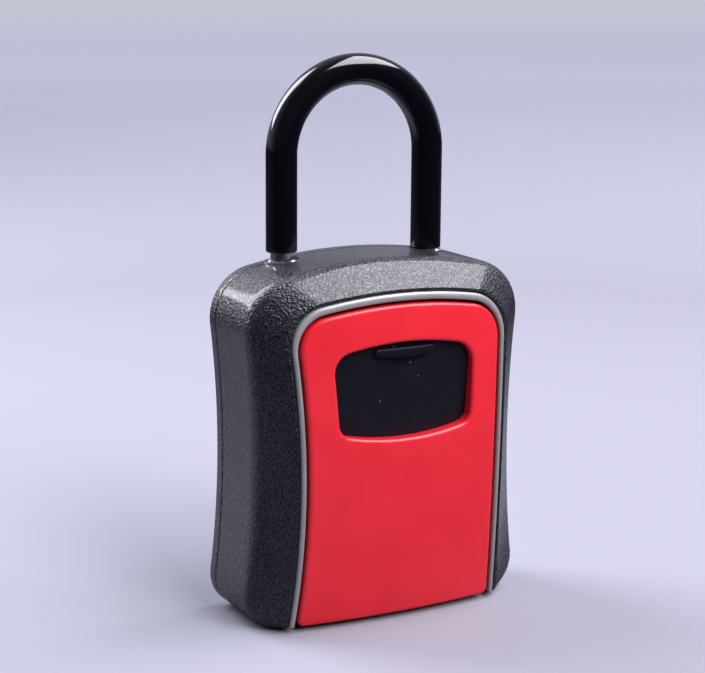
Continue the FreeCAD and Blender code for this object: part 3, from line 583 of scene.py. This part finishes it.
def shutter_slide():
    """Arched dial cover with rounded edges."""
    x0, x1 = shutter_low.x, shutter_high.x
    z0, z1 = shutter_low.z, shutter_high.z
    across, up = 30, 20
    front, back = SHUTTER_RECESS, SHUTTER_RECESS + SHUTTER_THICK

    def ring(by, depth):
        points = []
        corners = [(x0 + by, z0 + by), (x1 - by, z0 + by), (x1 - by, z1 - by), (x0 + by, z1 - by)]
        for start, end, count in zip(corners, corners[1:] + corners[:1], (across, up, across, up)):
            points += line_points(start, end, count)
        return on_plan(points, depth)

    def close(bm, row, depth, flip):
        """Arched sheet of quads inside one ring."""
        right, top = row[across:across + up + 1], row[across + up:2 * across + up + 1]
        left = row[2 * across + up:] + row[:1]
        grid = [row[:across + 1]]
        for k in range(1, up):
            a, b = left[up - k], right[k]
            inner = []
            for i in range(1, across):
                p = a.co.lerp(b.co, i / across)
                inner.append(bm.verts.new((p.x, plan_y(p.x, depth), p.z)))
            grid.append([a] + inner + [b])
        grid.append(list(reversed(top)))
        for near, far in zip(grid, grid[1:]):
            for i in range(across):
                quad = (near[i], near[i + 1], far[i + 1], far[i])
                bm.faces.new(tuple(reversed(quad)) if flip else quad)

    def build(bm):
        rows = [ring(SHUTTER_SOFT, back), ring(0.0, back - SHUTTER_SOFT), ring(0.0, front + SHUTTER_SOFT),
                ring(SHUTTER_SOFT * 0.3, front + SHUTTER_SOFT * 0.3), ring(SHUTTER_SOFT, front)]
        made = lay(bm, rows)
        close(bm, made[0], back, True)
        close(bm, made[-1], front, False)
    return make("shutter_slide", build)


def shutter_lip():
    """Finger lip: straight along the top, bowed below, thinning towards its ends."""
    edge_r = 0.4

    def section(u):
        """Outline of the lip at one place along it, u from -1 to 1."""
        x = FINGER_HALF * math.sin(math.pi / 2 * u)
        share = math.sqrt(max(0.0, 1 - (x / FINGER_HALF) ** 24))
        mid = 1 - (x / FINGER_HALF) ** 2
        height = (2.3 + 1.3 * mid) * (0.75 + 0.25 * share)
        reach = (1.9 + 0.5 * mid) * (0.5 + 0.5 * share)
        back = plan_y(x, SHUTTER_RECESS) + 0.4
        face = plan_y(x, SHUTTER_RECESS) - reach
        high = FINGER_TOP - 0.25 * (1 - share)
        low = high - height
        row = [(back, high)]
        row += [(face + edge_r * (1 - math.sin(a)), high - edge_r * (1 - math.cos(a))) for a in quarter(5)]
        row += [(face + 0.1, high - height * 0.5), (face + 0.35, low + 0.55), (face + 0.8, low + 0.15),
                (face + 1.3, low), (back, low + 0.1)]
        return [Vector((x, y, z)) for y, z in row]

    def build(bm):
        lay(bm, [section(-1 + 2 * i / 40) for i in range(41)], caps=True)
    return make("shutter_lip", build, 60)


def shackle_rows(radius, z_left, z_right, ends=()):
    """Rings of a round bar along the left leg, the bow and the right leg.

    ends are (back, narrowing) pairs that round both ends off, from the tip inwards.
    """
    def ring(centre, sideways, r):
        return [centre + sideways * (r * math.cos(a)) + Vector((0, 1, 0)) * (r * math.sin(a))
                for a in full_turn(48)]

    def leg_ring(side, z, r=radius):
        return ring(Vector((side * BOW_R, SHACKLE_Y, z)), Vector((-side, 0, 0)), r)

    rows = [leg_ring(-1, z_left + back, radius - narrow) for back, narrow in ends]
    tip = ends[-1][0] if ends else 0
    first, last = z_left + tip, z_right + tip
    rows += [leg_ring(-1, first + (BOW_Z - first) * i / 12) for i in range(1 if ends else 0, 12)]
    for i in range(73):
        a = math.pi * i / 72
        out = Vector((-math.cos(a), 0, math.sin(a)))
        rows.append(ring(Vector((0, SHACKLE_Y, BOW_Z)) + out * BOW_R, -out, radius))
    rows += [leg_ring(1, BOW_Z + (last - BOW_Z) * i / 12) for i in range(1, 12 if ends else 13)]
    rows += [leg_ring(1, z_right + back, radius - narrow) for back, narrow in reversed(ends)]
    return rows


def shackle_sleeve():
    """Vinyl sleeve with softly rounded ends; it ends higher on the long leg."""
    soft = 0.7
    ends = [(soft * (1 - math.sin(a)), soft * (1 - math.cos(a)))
            for a in (math.pi / 2, math.pi / 3, math.pi / 5, math.pi / 10, 0.0)]

    def build(bm):
        outside = shackle_rows(SLEEVE_R, LEFT_FOOT_Z, sleeve_low.z, ends)
        inside = shackle_rows(BAR_R + 0.02, LEFT_FOOT_Z, sleeve_low.z)
        lay(bm, outside + list(reversed(inside)), shut=True)
    return make("sleeve_tube", build)


def dial_wheel(number, x, y, z):
    """Number wheel: ten faces with a grip groove between them and eased rims."""
    low, high = node_box("dial_%d" % number)
    half = (high.x - low.x) / 2
    groove, groove_depth = 0.75, 0.55
    face_angle = 2 * math.pi / 10
    angles = full_turn(160)

    def radius(angle):
        off = abs((angle / face_angle) % 1.0 - 0.5) * face_angle * DIAL_R
        dip = groove_depth * (1 + math.cos(math.pi * off / groove)) / 2 if off < groove else 0.0
        return DIAL_R - dip

    def ring(along, radii):
        return [Vector((x + along, y - r * math.cos(a), z + r * math.sin(a)))
                for a, r in zip(angles, radii)]

    def build(bm):
        rims = [(-half, 0.45), (-half + 0.12, 0.15), (-half + 0.4, 0.0), (0.0, 0.0),
                (half - 0.4, 0.0), (half - 0.12, 0.15), (half, 0.45)]
        rows = [ring(along, [radius(a) - shrink for a in angles]) for along, shrink in rims]
        rows += [ring(along, [DIAL_BORE_R] * len(angles)) for along in (half, -half)]
        lay(bm, rows, shut=True)
    return make("wheel_%d" % number, build)


def digit_mesh(digit, height, thick):
    """Flat mesh of one digit, centred, in millimetres."""
    curve = bpy.data.curves.new("digit", "FONT")
    curve.body = str(digit)
    curve.size = height / 0.7     # capitals of the built-in font are 0.7 of its size
    curve.align_x = "CENTER"
    curve.align_y = "CENTER"
    curve.extrude = thick
    curve.resolution_u = 4
    holder = bpy.data.objects.new("digit", curve)
    bpy.context.scene.collection.objects.link(holder)
    bpy.context.view_layer.update()
    mesh = bpy.data.meshes.new_from_object(holder.evaluated_get(bpy.context.evaluated_depsgraph_get()))
    part = bmesh.new()
    part.from_mesh(mesh)
    bpy.data.objects.remove(holder)
    bpy.data.curves.remove(curve)
    bpy.data.meshes.remove(mesh)
    return part


def dial_digits(number, x, y, z):
    """Digits 0 to 9 wrapped on the faces of one wheel."""
    strip, sunk = 0.45, 0.06      # height of the strips a digit is cut into to bend, and its depth

    def build(bm):
        for digit in range(10):
            part = digit_mesh(digit, height=4.0, thick=0.12)
            for k in range(-5, 6):
                geometry = part.verts[:] + part.edges[:] + part.faces[:]
                bmesh.ops.bisect_plane(part, geom=geometry, plane_co=(0, k * strip, 0), plane_no=(0, 1, 0))
            low = min(v.co.y for v in part.verts)
            high = max(v.co.y for v in part.verts)
            middle = (low + high) / 2
            copies = {}
            for v in part.verts:
                a = 2 * math.pi * digit / 10 + (v.co.y - middle) / DIAL_R
                r = DIAL_R - sunk + v.co.z
                copies[v] = bm.verts.new((x + v.co.x, y - r * math.cos(a), z + r * math.sin(a)))
            for f in part.faces:
                bm.faces.new([copies[v] for v in f.verts])
            part.free()
    return make("digits_%d" % number, build)


# ---------------------------------------------------------------- materials
class Nodes:
    """Small helper for one procedural material."""

    def __init__(self, name):
        self.material = bpy.data.materials.new(name)
        self.material.use_nodes = True
        self.tree = self.material.node_tree
        self.shader = self.tree.nodes["Principled BSDF"]
        self.coords = self.tree.nodes.new("ShaderNodeTexCoord").outputs["Object"]

    def add(self, kind, inputs=(), **settings):
        """New node with its inputs linked or set, and its settings."""
        node = self.tree.nodes.new(kind)
        for key, value in settings.items():
            setattr(node, key, value)
        for socket, value in dict(inputs).items():
            self.set(node, socket, value)
        return node

    def set(self, node, socket, value):
        if isinstance(value, bpy.types.NodeSocket):
            self.tree.links.new(value, node.inputs[socket])
        else:
            node.inputs[socket].default_value = value

    def base(self, **values):
        """Constants on the shader, by socket name with _ for spaces."""
        for name, value in values.items():
            self.set(self.shader, name.replace("_", " "), value)

    def noise(self, per_mm, detail=2.0, rough=0.5, at=None):
        node = self.add("ShaderNodeTexNoise", {"Vector": at or self.coords, "Scale": per_mm / MM,
                                               "Detail": detail, "Roughness": rough})
        return node.outputs["Fac"]

    def cells(self, per_mm, feature="SMOOTH_F1", smooth=0.6, at=None, output="Distance"):
        node = self.add("ShaderNodeTexVoronoi", {"Vector": at or self.coords, "Scale": per_mm / MM},
                        feature=feature)
        if feature == "SMOOTH_F1":
            node.inputs["Smoothness"].default_value = smooth
        return node.outputs[output]

    def ramp(self, value, stops):
        """Colour that follows stops of (place, colour)."""
        node = self.add("ShaderNodeValToRGB", {"Fac": value})
        elements = node.color_ramp.elements
        while len(elements) < len(stops):
            elements.new(0.5)
        for element, (place, colour) in zip(elements, stops):
            element.position = place
            element.color = colour
        return node.outputs["Color"]

    def spread(self, value, low, high, start=0.3, end=0.7):
        """Runs from low to high, and no further, while the value runs from start to end."""
        node = self.add("ShaderNodeMapRange", {"Value": value, "From Min": start, "From Max": end,
                                               "To Min": low, "To Max": high})
        return node.outputs["Result"]

    def sum(self, a, b, share):
        """a and a share of b."""
        node = self.add("ShaderNodeMath", {0: b, 1: share, 2: a}, operation="MULTIPLY_ADD")
        return node.outputs["Value"]

    def mix(self, share, a, b):
        """Colour a, with a share of colour b."""
        node = self.add("ShaderNodeMix", data_type="RGBA")
        self.set(node, 0, share)
        self.set(node, 6, a)
        self.set(node, 7, b)
        return node.outputs[2]

    def warped(self, per_mm, amount_mm):
        """Coordinates pushed about by noise."""
        noise = self.add("ShaderNodeTexNoise", {"Vector": self.coords, "Scale": per_mm / MM, "Detail": 1.0})
        push = (amount_mm * MM,) * 3
        node = self.add("ShaderNodeVectorMath", {0: noise.outputs["Color"], 1: push, 2: self.coords},
                        operation="MULTIPLY_ADD")
        return node.outputs["Vector"]

    def bump(self, height, depth_mm, strength, after=None, invert=False):
        """Normal bent by a height, on top of the one in after."""
        inputs = {"Height": height, "Distance": depth_mm * MM, "Strength": strength}
        node = self.add("ShaderNodeBump", inputs, invert=invert)
        if after is not None:
            self.tree.links.new(after, node.inputs["Normal"])
        return node.outputs["Normal"]

    def worn(self):
        """About 1 along outward edges and 0 elsewhere."""
        geometry = self.add("ShaderNodeNewGeometry").outputs["Pointiness"]
        return self.spread(geometry, 0.0, 1.0, 0.52, 0.6)


def rgba(r, g, b):
    return (r, g, b, 1.0)


def hammer_paint():
    """Charcoal hammertone: rounded pebbles about a millimetre across with painted shade in the valleys
    between them, metallic flake with painted glints as pale specks, thin clear coat.
    """
    n = Nodes("hammer_paint")
    at = n.warped(0.9, 0.6)
    pebbles = n.cells(1.1, smooth=0.35, at=at)
    small = n.cells(2.4, smooth=0.4, at=at)
    height = n.sum(pebbles, small, 0.35)
    # Painted glints: specks of metallic flake are painted pale in the base colour in place of their
    # sparkle, and made smoother.
    flake = n.cells(6.5, "F1", output="Color")
    sparkle = n.add("ShaderNodeSeparateColor", {"Color": flake}).outputs[0]
    glint = n.spread(sparkle, 0.0, 1.0, 0.80, 0.99)
    cloud = n.noise(0.12, 3.0)
    dark = n.mix(n.spread(cloud, 0.0, 1.0), rgba(0.0042, 0.0050, 0.0100), rgba(0.0075, 0.0088, 0.0165))
    # Painted shade: the base colour is painted darker in the valleys between the pebbles; the same mask
    # also makes them rougher.
    shaded_valleys = n.spread(pebbles, 0.0, 1.0, 0.45, 0.8)
    body = n.mix(shaded_valleys, dark, rgba(0.003, 0.003, 0.005))
    n.base(Base_Color=n.mix(glint, body, rgba(0.10, 0.10, 0.14)),
           Metallic=0.1,
           Roughness=n.spread(shaded_valleys, n.spread(sparkle, 0.20, 0.30, 0.0, 1.0), 0.6, 0.0, 1.0),
           Specular_IOR_Level=0.7,
           Coat_Weight=0.5, Coat_Roughness=0.12,
           Normal=n.bump(height, 0.34, 1.0, invert=True))
    return n.material


def satin_metal():
    """Satin silver strip: fine even grain and a few dull patches."""
    n = Nodes("satin_metal")
    grain = n.noise(9.0, 3.0, 0.6)
    patch = n.noise(0.25, 2.0)
    n.base(Base_Color=n.mix(patch, rgba(0.36, 0.36, 0.37), rgba(0.44, 0.44, 0.45)),
           Metallic=0.45,
           Roughness=n.spread(patch, 0.36, 0.46),
           Normal=n.bump(grain, 0.02, 0.5))
    return n.material


def red_paint():
    """Satin red enamel: faint orange peel, soft clear coat, tiny specks of dust in the paint."""
    n = Nodes("red_paint")
    peel = n.noise(0.9, 2.0)
    grain = n.noise(7.0, 2.0)
    patch = n.noise(0.05, 2.0)
    specks = n.cells(0.16, "F1")
    speck = n.spread(specks, 0.6, 0.0, 0.02, 0.075)
    paint = n.mix(n.spread(patch, 0.0, 1.0), rgba(0.685, 0.012, 0.024), rgba(0.735, 0.016, 0.031))
    n.base(Base_Color=n.mix(speck, paint, rgba(0.5, 0.02, 0.03)),
           Roughness=n.spread(grain, 0.34, 0.42),
           Specular_IOR_Level=0.5,
           Coat_Weight=0.4, Coat_Roughness=0.24,
           Normal=n.bump(grain, 0.008, 0.4, n.bump(peel, 0.03, 0.35)))
    return n.material


def vinyl():
    """Glossy black sleeve, slightly uneven, with a few dust specks."""
    n = Nodes("vinyl")
    wave = n.noise(0.08, 1.0)
    skin = n.noise(2.5, 2.0)
    dust = n.spread(n.cells(0.11, "F1"), 1.0, 0.0, 0.015, 0.04)
    n.base(Base_Color=n.mix(dust, rgba(0.0018, 0.0020, 0.0035), rgba(0.2, 0.2, 0.22)),
           Roughness=n.spread(wave, 0.1, 0.16),
           Specular_IOR_Level=0.5,
           Coat_Weight=0.5, Coat_Roughness=0.05,
           Normal=n.bump(skin, 0.004, 0.3, n.bump(wave, 0.5, 0.12)))
    return n.material


def black_plastic():
    """Satin black moulding with fine spark-eroded grain and stray dust."""
    n = Nodes("black_plastic")
    grain = n.noise(6.0, 3.0)
    patch = n.noise(0.12, 3.0)
    dust = n.spread(n.cells(0.20, "F1"), 1.0, 0.0, 0.03, 0.07)
    n.base(Base_Color=n.mix(dust, n.mix(patch, rgba(0.0065, 0.0068, 0.012), rgba(0.009, 0.0095, 0.016)),
                            rgba(0.12, 0.12, 0.14)),
           Roughness=n.spread(patch, 0.38, 0.5),
           Specular_IOR_Level=0.25,
           Normal=n.bump(grain, 0.012, 0.5))
    return n.material


def metal(name, light, dark, rough, grain_mm, bump_mm, streaks=None):
    """Bare or plated metal with grain, cloudy colour and brighter worn edges."""
    n = Nodes(name)
    at = n.coords
    if streaks:
        at = n.add("ShaderNodeMapping", {"Vector": n.coords, "Scale": streaks}).outputs["Vector"]
    grain = n.noise(1.0 / grain_mm, 3.0, 0.6, at)
    cloud = n.noise(0.15, 3.0)
    colour = n.mix(n.spread(cloud, 0.0, 1.0), rgba(*dark), rgba(*light))
    colour = n.mix(n.worn(), colour, rgba(*[min(1.0, c * 1.35) for c in light]))
    n.base(Base_Color=colour, Metallic=1.0,
           Roughness=n.spread(grain, *rough),
           Normal=n.bump(grain, bump_mm, 0.5))
    return n.material


def dial_metal():
    """Satin black anodised wheel, worn bright along the grip grooves."""
    n = Nodes("dial_metal")
    grain = n.noise(8.0, 3.0)
    colour = n.mix(n.worn(), rgba(0.02, 0.02, 0.023), rgba(0.35, 0.35, 0.36))
    n.base(Base_Color=colour, Metallic=0.7, Roughness=n.spread(grain, 0.3, 0.42),
           Normal=n.bump(grain, 0.01, 0.5))
    return n.material


def digit_paint():
    """White filling of the digits."""
    n = Nodes("digit_paint")
    grain = n.noise(6.0, 2.0)
    n.base(Base_Color=n.mix(grain, rgba(0.72, 0.72, 0.70), rgba(0.84, 0.84, 0.82)),
           Roughness=n.spread(grain, 0.4, 0.55), Normal=n.bump(grain, 0.01, 0.4))
    return n.material


materials = {
    "hammer_paint": hammer_paint(),
    "satin_metal": satin_metal(),
    "red_paint": red_paint(),
    "vinyl": vinyl(),
    "black_plastic": black_plastic(),
    "dial_metal": dial_metal(),
    "screw_steel": metal("screw_steel", (0.62, 0.62, 0.64), (0.45, 0.45, 0.47),
                         rough=(0.25, 0.4), grain_mm=0.25, bump_mm=0.01),
    "cast_zinc": metal("cast_zinc", (0.44, 0.44, 0.45), (0.30, 0.30, 0.31),
                       rough=(0.42, 0.6), grain_mm=0.35, bump_mm=0.05),
    "plated_steel": metal("plated_steel", (0.66, 0.65, 0.60), (0.50, 0.49, 0.44),
                          rough=(0.26, 0.4), grain_mm=0.2, bump_mm=0.008, streaks=(1.0, 6.0, 6.0)),
    "shackle_steel": metal("shackle_steel", (0.74, 0.74, 0.76), (0.60, 0.60, 0.62),
                           rough=(0.12, 0.24), grain_mm=0.2, bump_mm=0.004, streaks=(6.0, 6.0, 1.0)),
    "brass": metal("brass", (0.78, 0.58, 0.26), (0.62, 0.44, 0.18),
                   rough=(0.25, 0.38), grain_mm=0.2, bump_mm=0.008),
}
white_digits = digit_paint()


def paint(obj, slot_name, material=None):
    """Gives an object the material of its slot, or another one."""
    obj.data.materials.clear()
    obj.data.materials.append(material or materials[slot_name])


def piece(obj, body, slot_name, *nodes, material=None):
    """Finish a piece: its material, which is the one for its slot name unless another is given, the body it
    rides on and the CAD nodes it stands for, which are hidden.
    """
    paint(obj, slot_name, material)
    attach(obj, body)
    if nodes:
        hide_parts(*nodes)


# ---------------------------------------------------------------- pieces
slot_of = {part["node"]: part["material_slot"] for part in frame["record"]["subparts"]}
for node_name, node in frame["nodes"].items():
    paint(node, slot_of[node_name])
    node.data.shade_smooth()
    node.data.set_sharp_from_angle(angle=math.radians(30))

piece(front_housing(), "root", "hammer_paint", "front_housing")
piece(rear_cover(), "root", "hammer_paint", "rear_cover")
piece(hole_rims(), "root", "screw_steel")
piece(trim_bezel(), "root", "satin_metal", "trim_bezel")
piece(shackle_sleeve(), "shackle", "vinyl", "shackle_sleeve")
piece(door_panel(), "door", "red_paint", "door_skin")
piece(door_knuckle(), "door", "red_paint")
piece(shutter_slide(), "shutter", "black_plastic", "shutter")
piece(shutter_lip(), "shutter", "black_plastic")
for number in range(1, DIALS + 1):
    low, high = node_box("dial_%d" % number)
    centre = ((low.x + high.x) / 2, (low.y + high.y) / 2, (low.z + high.z) / 2)
    body = "dial_%d" % number
    piece(dial_wheel(number, *centre), body, "dial_metal", "dial_%d" % number)
    piece(dial_digits(number, *centre), body, "dial_metal", material=white_digits)


# ---------------------------------------------------------------- stage, light and camera
FLOOR_HALF = 14000.0
WORLD_FRONT = 0.05            # strength of the surround in front of the box
WORLD_BACK = 0.45             # and behind it
LENS_MM = 95.54
SENSOR_MM = 36.0
CAMERA_FROM_BOW = (-287.08, -524.98, 66.06)
CAMERA_LOOK = 28.62           # degrees to the right of straight ahead
CAMERA_PITCH = 11.93          # degrees down
CAMERA_ROLL = 0.434


def stage_floor():
    """Lavender paper with painted light: painted darker near the box and paler with distance, and painted
    near black where shiny parts reflect it in front and far off.
    """
    def build(bm):
        signs = [(-1, -1), (1, -1), (1, 1), (-1, 1)]
        bm.faces.new([bm.verts.new((x * FLOOR_HALF, y * FLOOR_HALF, 0)) for x, y in signs])
    floor = make("stage_floor", build)
    n = Nodes("floor_paper")
    fibre = n.noise(0.05, 2.0)
    away = n.add("ShaderNodeVectorMath", {0: n.coords}, operation="LENGTH").outputs["Value"]
    # Painted light and shade: the paper is painted darker near the box and paler far off, in place of the
    # fall of light over the floor.
    paper = n.ramp(n.spread(away, 0.0, 1.0, 0.1, 5.0),
                   [(0.0, rgba(0.32, 0.32, 0.38)), (0.10, rgba(0.31, 0.31, 0.37)),
                    (0.30, rgba(0.58, 0.59, 0.71)), (0.50, rgba(0.77, 0.79, 0.96)),
                    (1.0, rgba(0.88, 0.90, 1.0))])
    # Painted reflection: glossy rays see the floor painted near black in front of the box and far around
    # it, so shiny parts see a dark room, as if the paper ended there.
    depth = n.add("ShaderNodeSeparateXYZ", {"Vector": n.coords}).outputs["Y"]
    mirrored = n.add("ShaderNodeLightPath").outputs["Is Glossy Ray"]
    in_front = n.spread(depth, 1.0, 0.0, -0.06, 0.10)
    far_off = n.spread(away, 0.35, 0.95, 0.15, 0.5)
    ends = n.add("ShaderNodeMath", {0: in_front, 1: far_off}, operation="MAXIMUM").outputs["Value"]
    painted_dark_reflection = n.add("ShaderNodeMath", {0: mirrored, 1: ends}, operation="MULTIPLY").outputs["Value"]
    paper = n.mix(painted_dark_reflection, paper, rgba(0.004, 0.004, 0.006))
    n.base(Base_Color=n.mix(n.spread(fibre, 0.0, 0.04), paper, rgba(0.3, 0.3, 0.38)),
           Roughness=0.9, Specular_IOR_Level=0.0)
    floor.data.materials.append(n.material)


def aimed(name, kind, place, aim, power, colour):
    """Light at a place in millimetres, pointed at another place."""
    light = bpy.data.lights.new(name, kind)
    light.energy = power
    light.color = colour
    holder = bpy.data.objects.new(name, light)
    bpy.context.scene.collection.objects.link(holder)
    holder.location = Vector(place) * MM
    holder.rotation_euler = (Vector(aim) - Vector(place)).to_track_quat("-Z", "Y").to_euler()
    return holder


def softbox(name, place, aim, size, power, colour):
    """Rectangular soft light."""
    light = aimed(name, "AREA", place, aim, power, colour).data
    light.shape = "RECTANGLE"
    light.size, light.size_y = size[0] * MM, size[1] * MM


def even_fill(name, direction, spread, power, colour):
    """Large distant soft light without a reflection; spread is its apparent width in degrees."""
    holder = aimed(name, "SUN", Vector(direction) * 1000.0, (0, 0, 0), power, colour)
    holder.data.angle = math.radians(spread)
    holder.visible_glossy = False


def world_light():
    """Bright pale surround behind the box, dark room in front of it; the camera sees it evenly pale."""
    world = bpy.data.worlds.new("surround")
    bpy.context.scene.world = world
    world.use_nodes = True
    tree = world.node_tree
    lit = tree.nodes["Background"]
    lit.inputs["Color"].default_value = rgba(0.80, 0.79, 0.97)
    direction = tree.nodes.new("ShaderNodeTexCoord").outputs["Generated"]
    parts = tree.nodes.new("ShaderNodeSeparateXYZ")
    tree.links.new(direction, parts.inputs["Vector"])
    fade = tree.nodes.new("ShaderNodeMapRange")
    fade.interpolation_type = "SMOOTHSTEP"
    tree.links.new(parts.outputs["Y"], fade.inputs["Value"])
    limits = {"From Min": -0.35, "From Max": 0.65, "To Min": WORLD_FRONT, "To Max": WORLD_BACK}
    for socket, value in limits.items():
        fade.inputs[socket].default_value = value
    tree.links.new(fade.outputs["Result"], lit.inputs["Strength"])
    seen = tree.nodes.new("ShaderNodeBackground")
    seen.inputs["Color"].default_value = rgba(0.58, 0.585, 0.77)
    choose = tree.nodes.new("ShaderNodeMixShader")
    tree.links.new(tree.nodes.new("ShaderNodeLightPath").outputs["Is Camera Ray"], choose.inputs["Fac"])
    tree.links.new(lit.outputs["Background"], choose.inputs[1])
    tree.links.new(seen.outputs["Background"], choose.inputs[2])
    tree.links.new(choose.outputs["Shader"], tree.nodes["World Output"].inputs["Surface"])


def camera():
    """Camera in front and to the left of the box, looking slightly down."""
    data = bpy.data.cameras.new("camera")
    data.sensor_fit = "HORIZONTAL"
    data.sensor_width = SENSOR_MM
    data.lens = LENS_MM
    data.clip_start = 0.01
    data.clip_end = 100.0
    holder = bpy.data.objects.new("camera", data)
    bpy.context.scene.collection.objects.link(holder)
    holder.location = (Vector((0.0, SHACKLE_Y, BOW_Z)) + Vector(CAMERA_FROM_BOW)) * MM
    look, pitch, roll = (math.radians(angle) for angle in (CAMERA_LOOK, CAMERA_PITCH, CAMERA_ROLL))
    ahead = math.cos(pitch)
    forward = Vector((math.sin(look) * ahead, math.cos(look) * ahead, -math.sin(pitch)))
    level = forward.cross(Vector((0, 0, 1))).normalized()
    upright = level.cross(forward)
    right = level * math.cos(roll) + upright * math.sin(roll)
    up = upright * math.cos(roll) - level * math.sin(roll)
    holder.rotation_euler = Matrix((right, up, -forward)).transposed().to_euler()
    bpy.context.scene.camera = holder


stage_floor()
world_light()
softbox("key_overhead", place=(675, -330, 1290), aim=(0, 0, 90), size=(1300, 900),
        power=31.0, colour=(0.95, 0.94, 1.0))
even_fill("front_high", direction=(0.16, -0.77, 0.61), spread=26, power=2.3, colour=(1.0, 0.99, 1.0))
softbox("left_back", place=(-400, 620, 720), aim=(-30, 0, 110), size=(460, 880),
        power=11.0, colour=(0.94, 0.94, 1.0))
camera()
bpy.context.scene.view_settings.view_transform = "Standard"
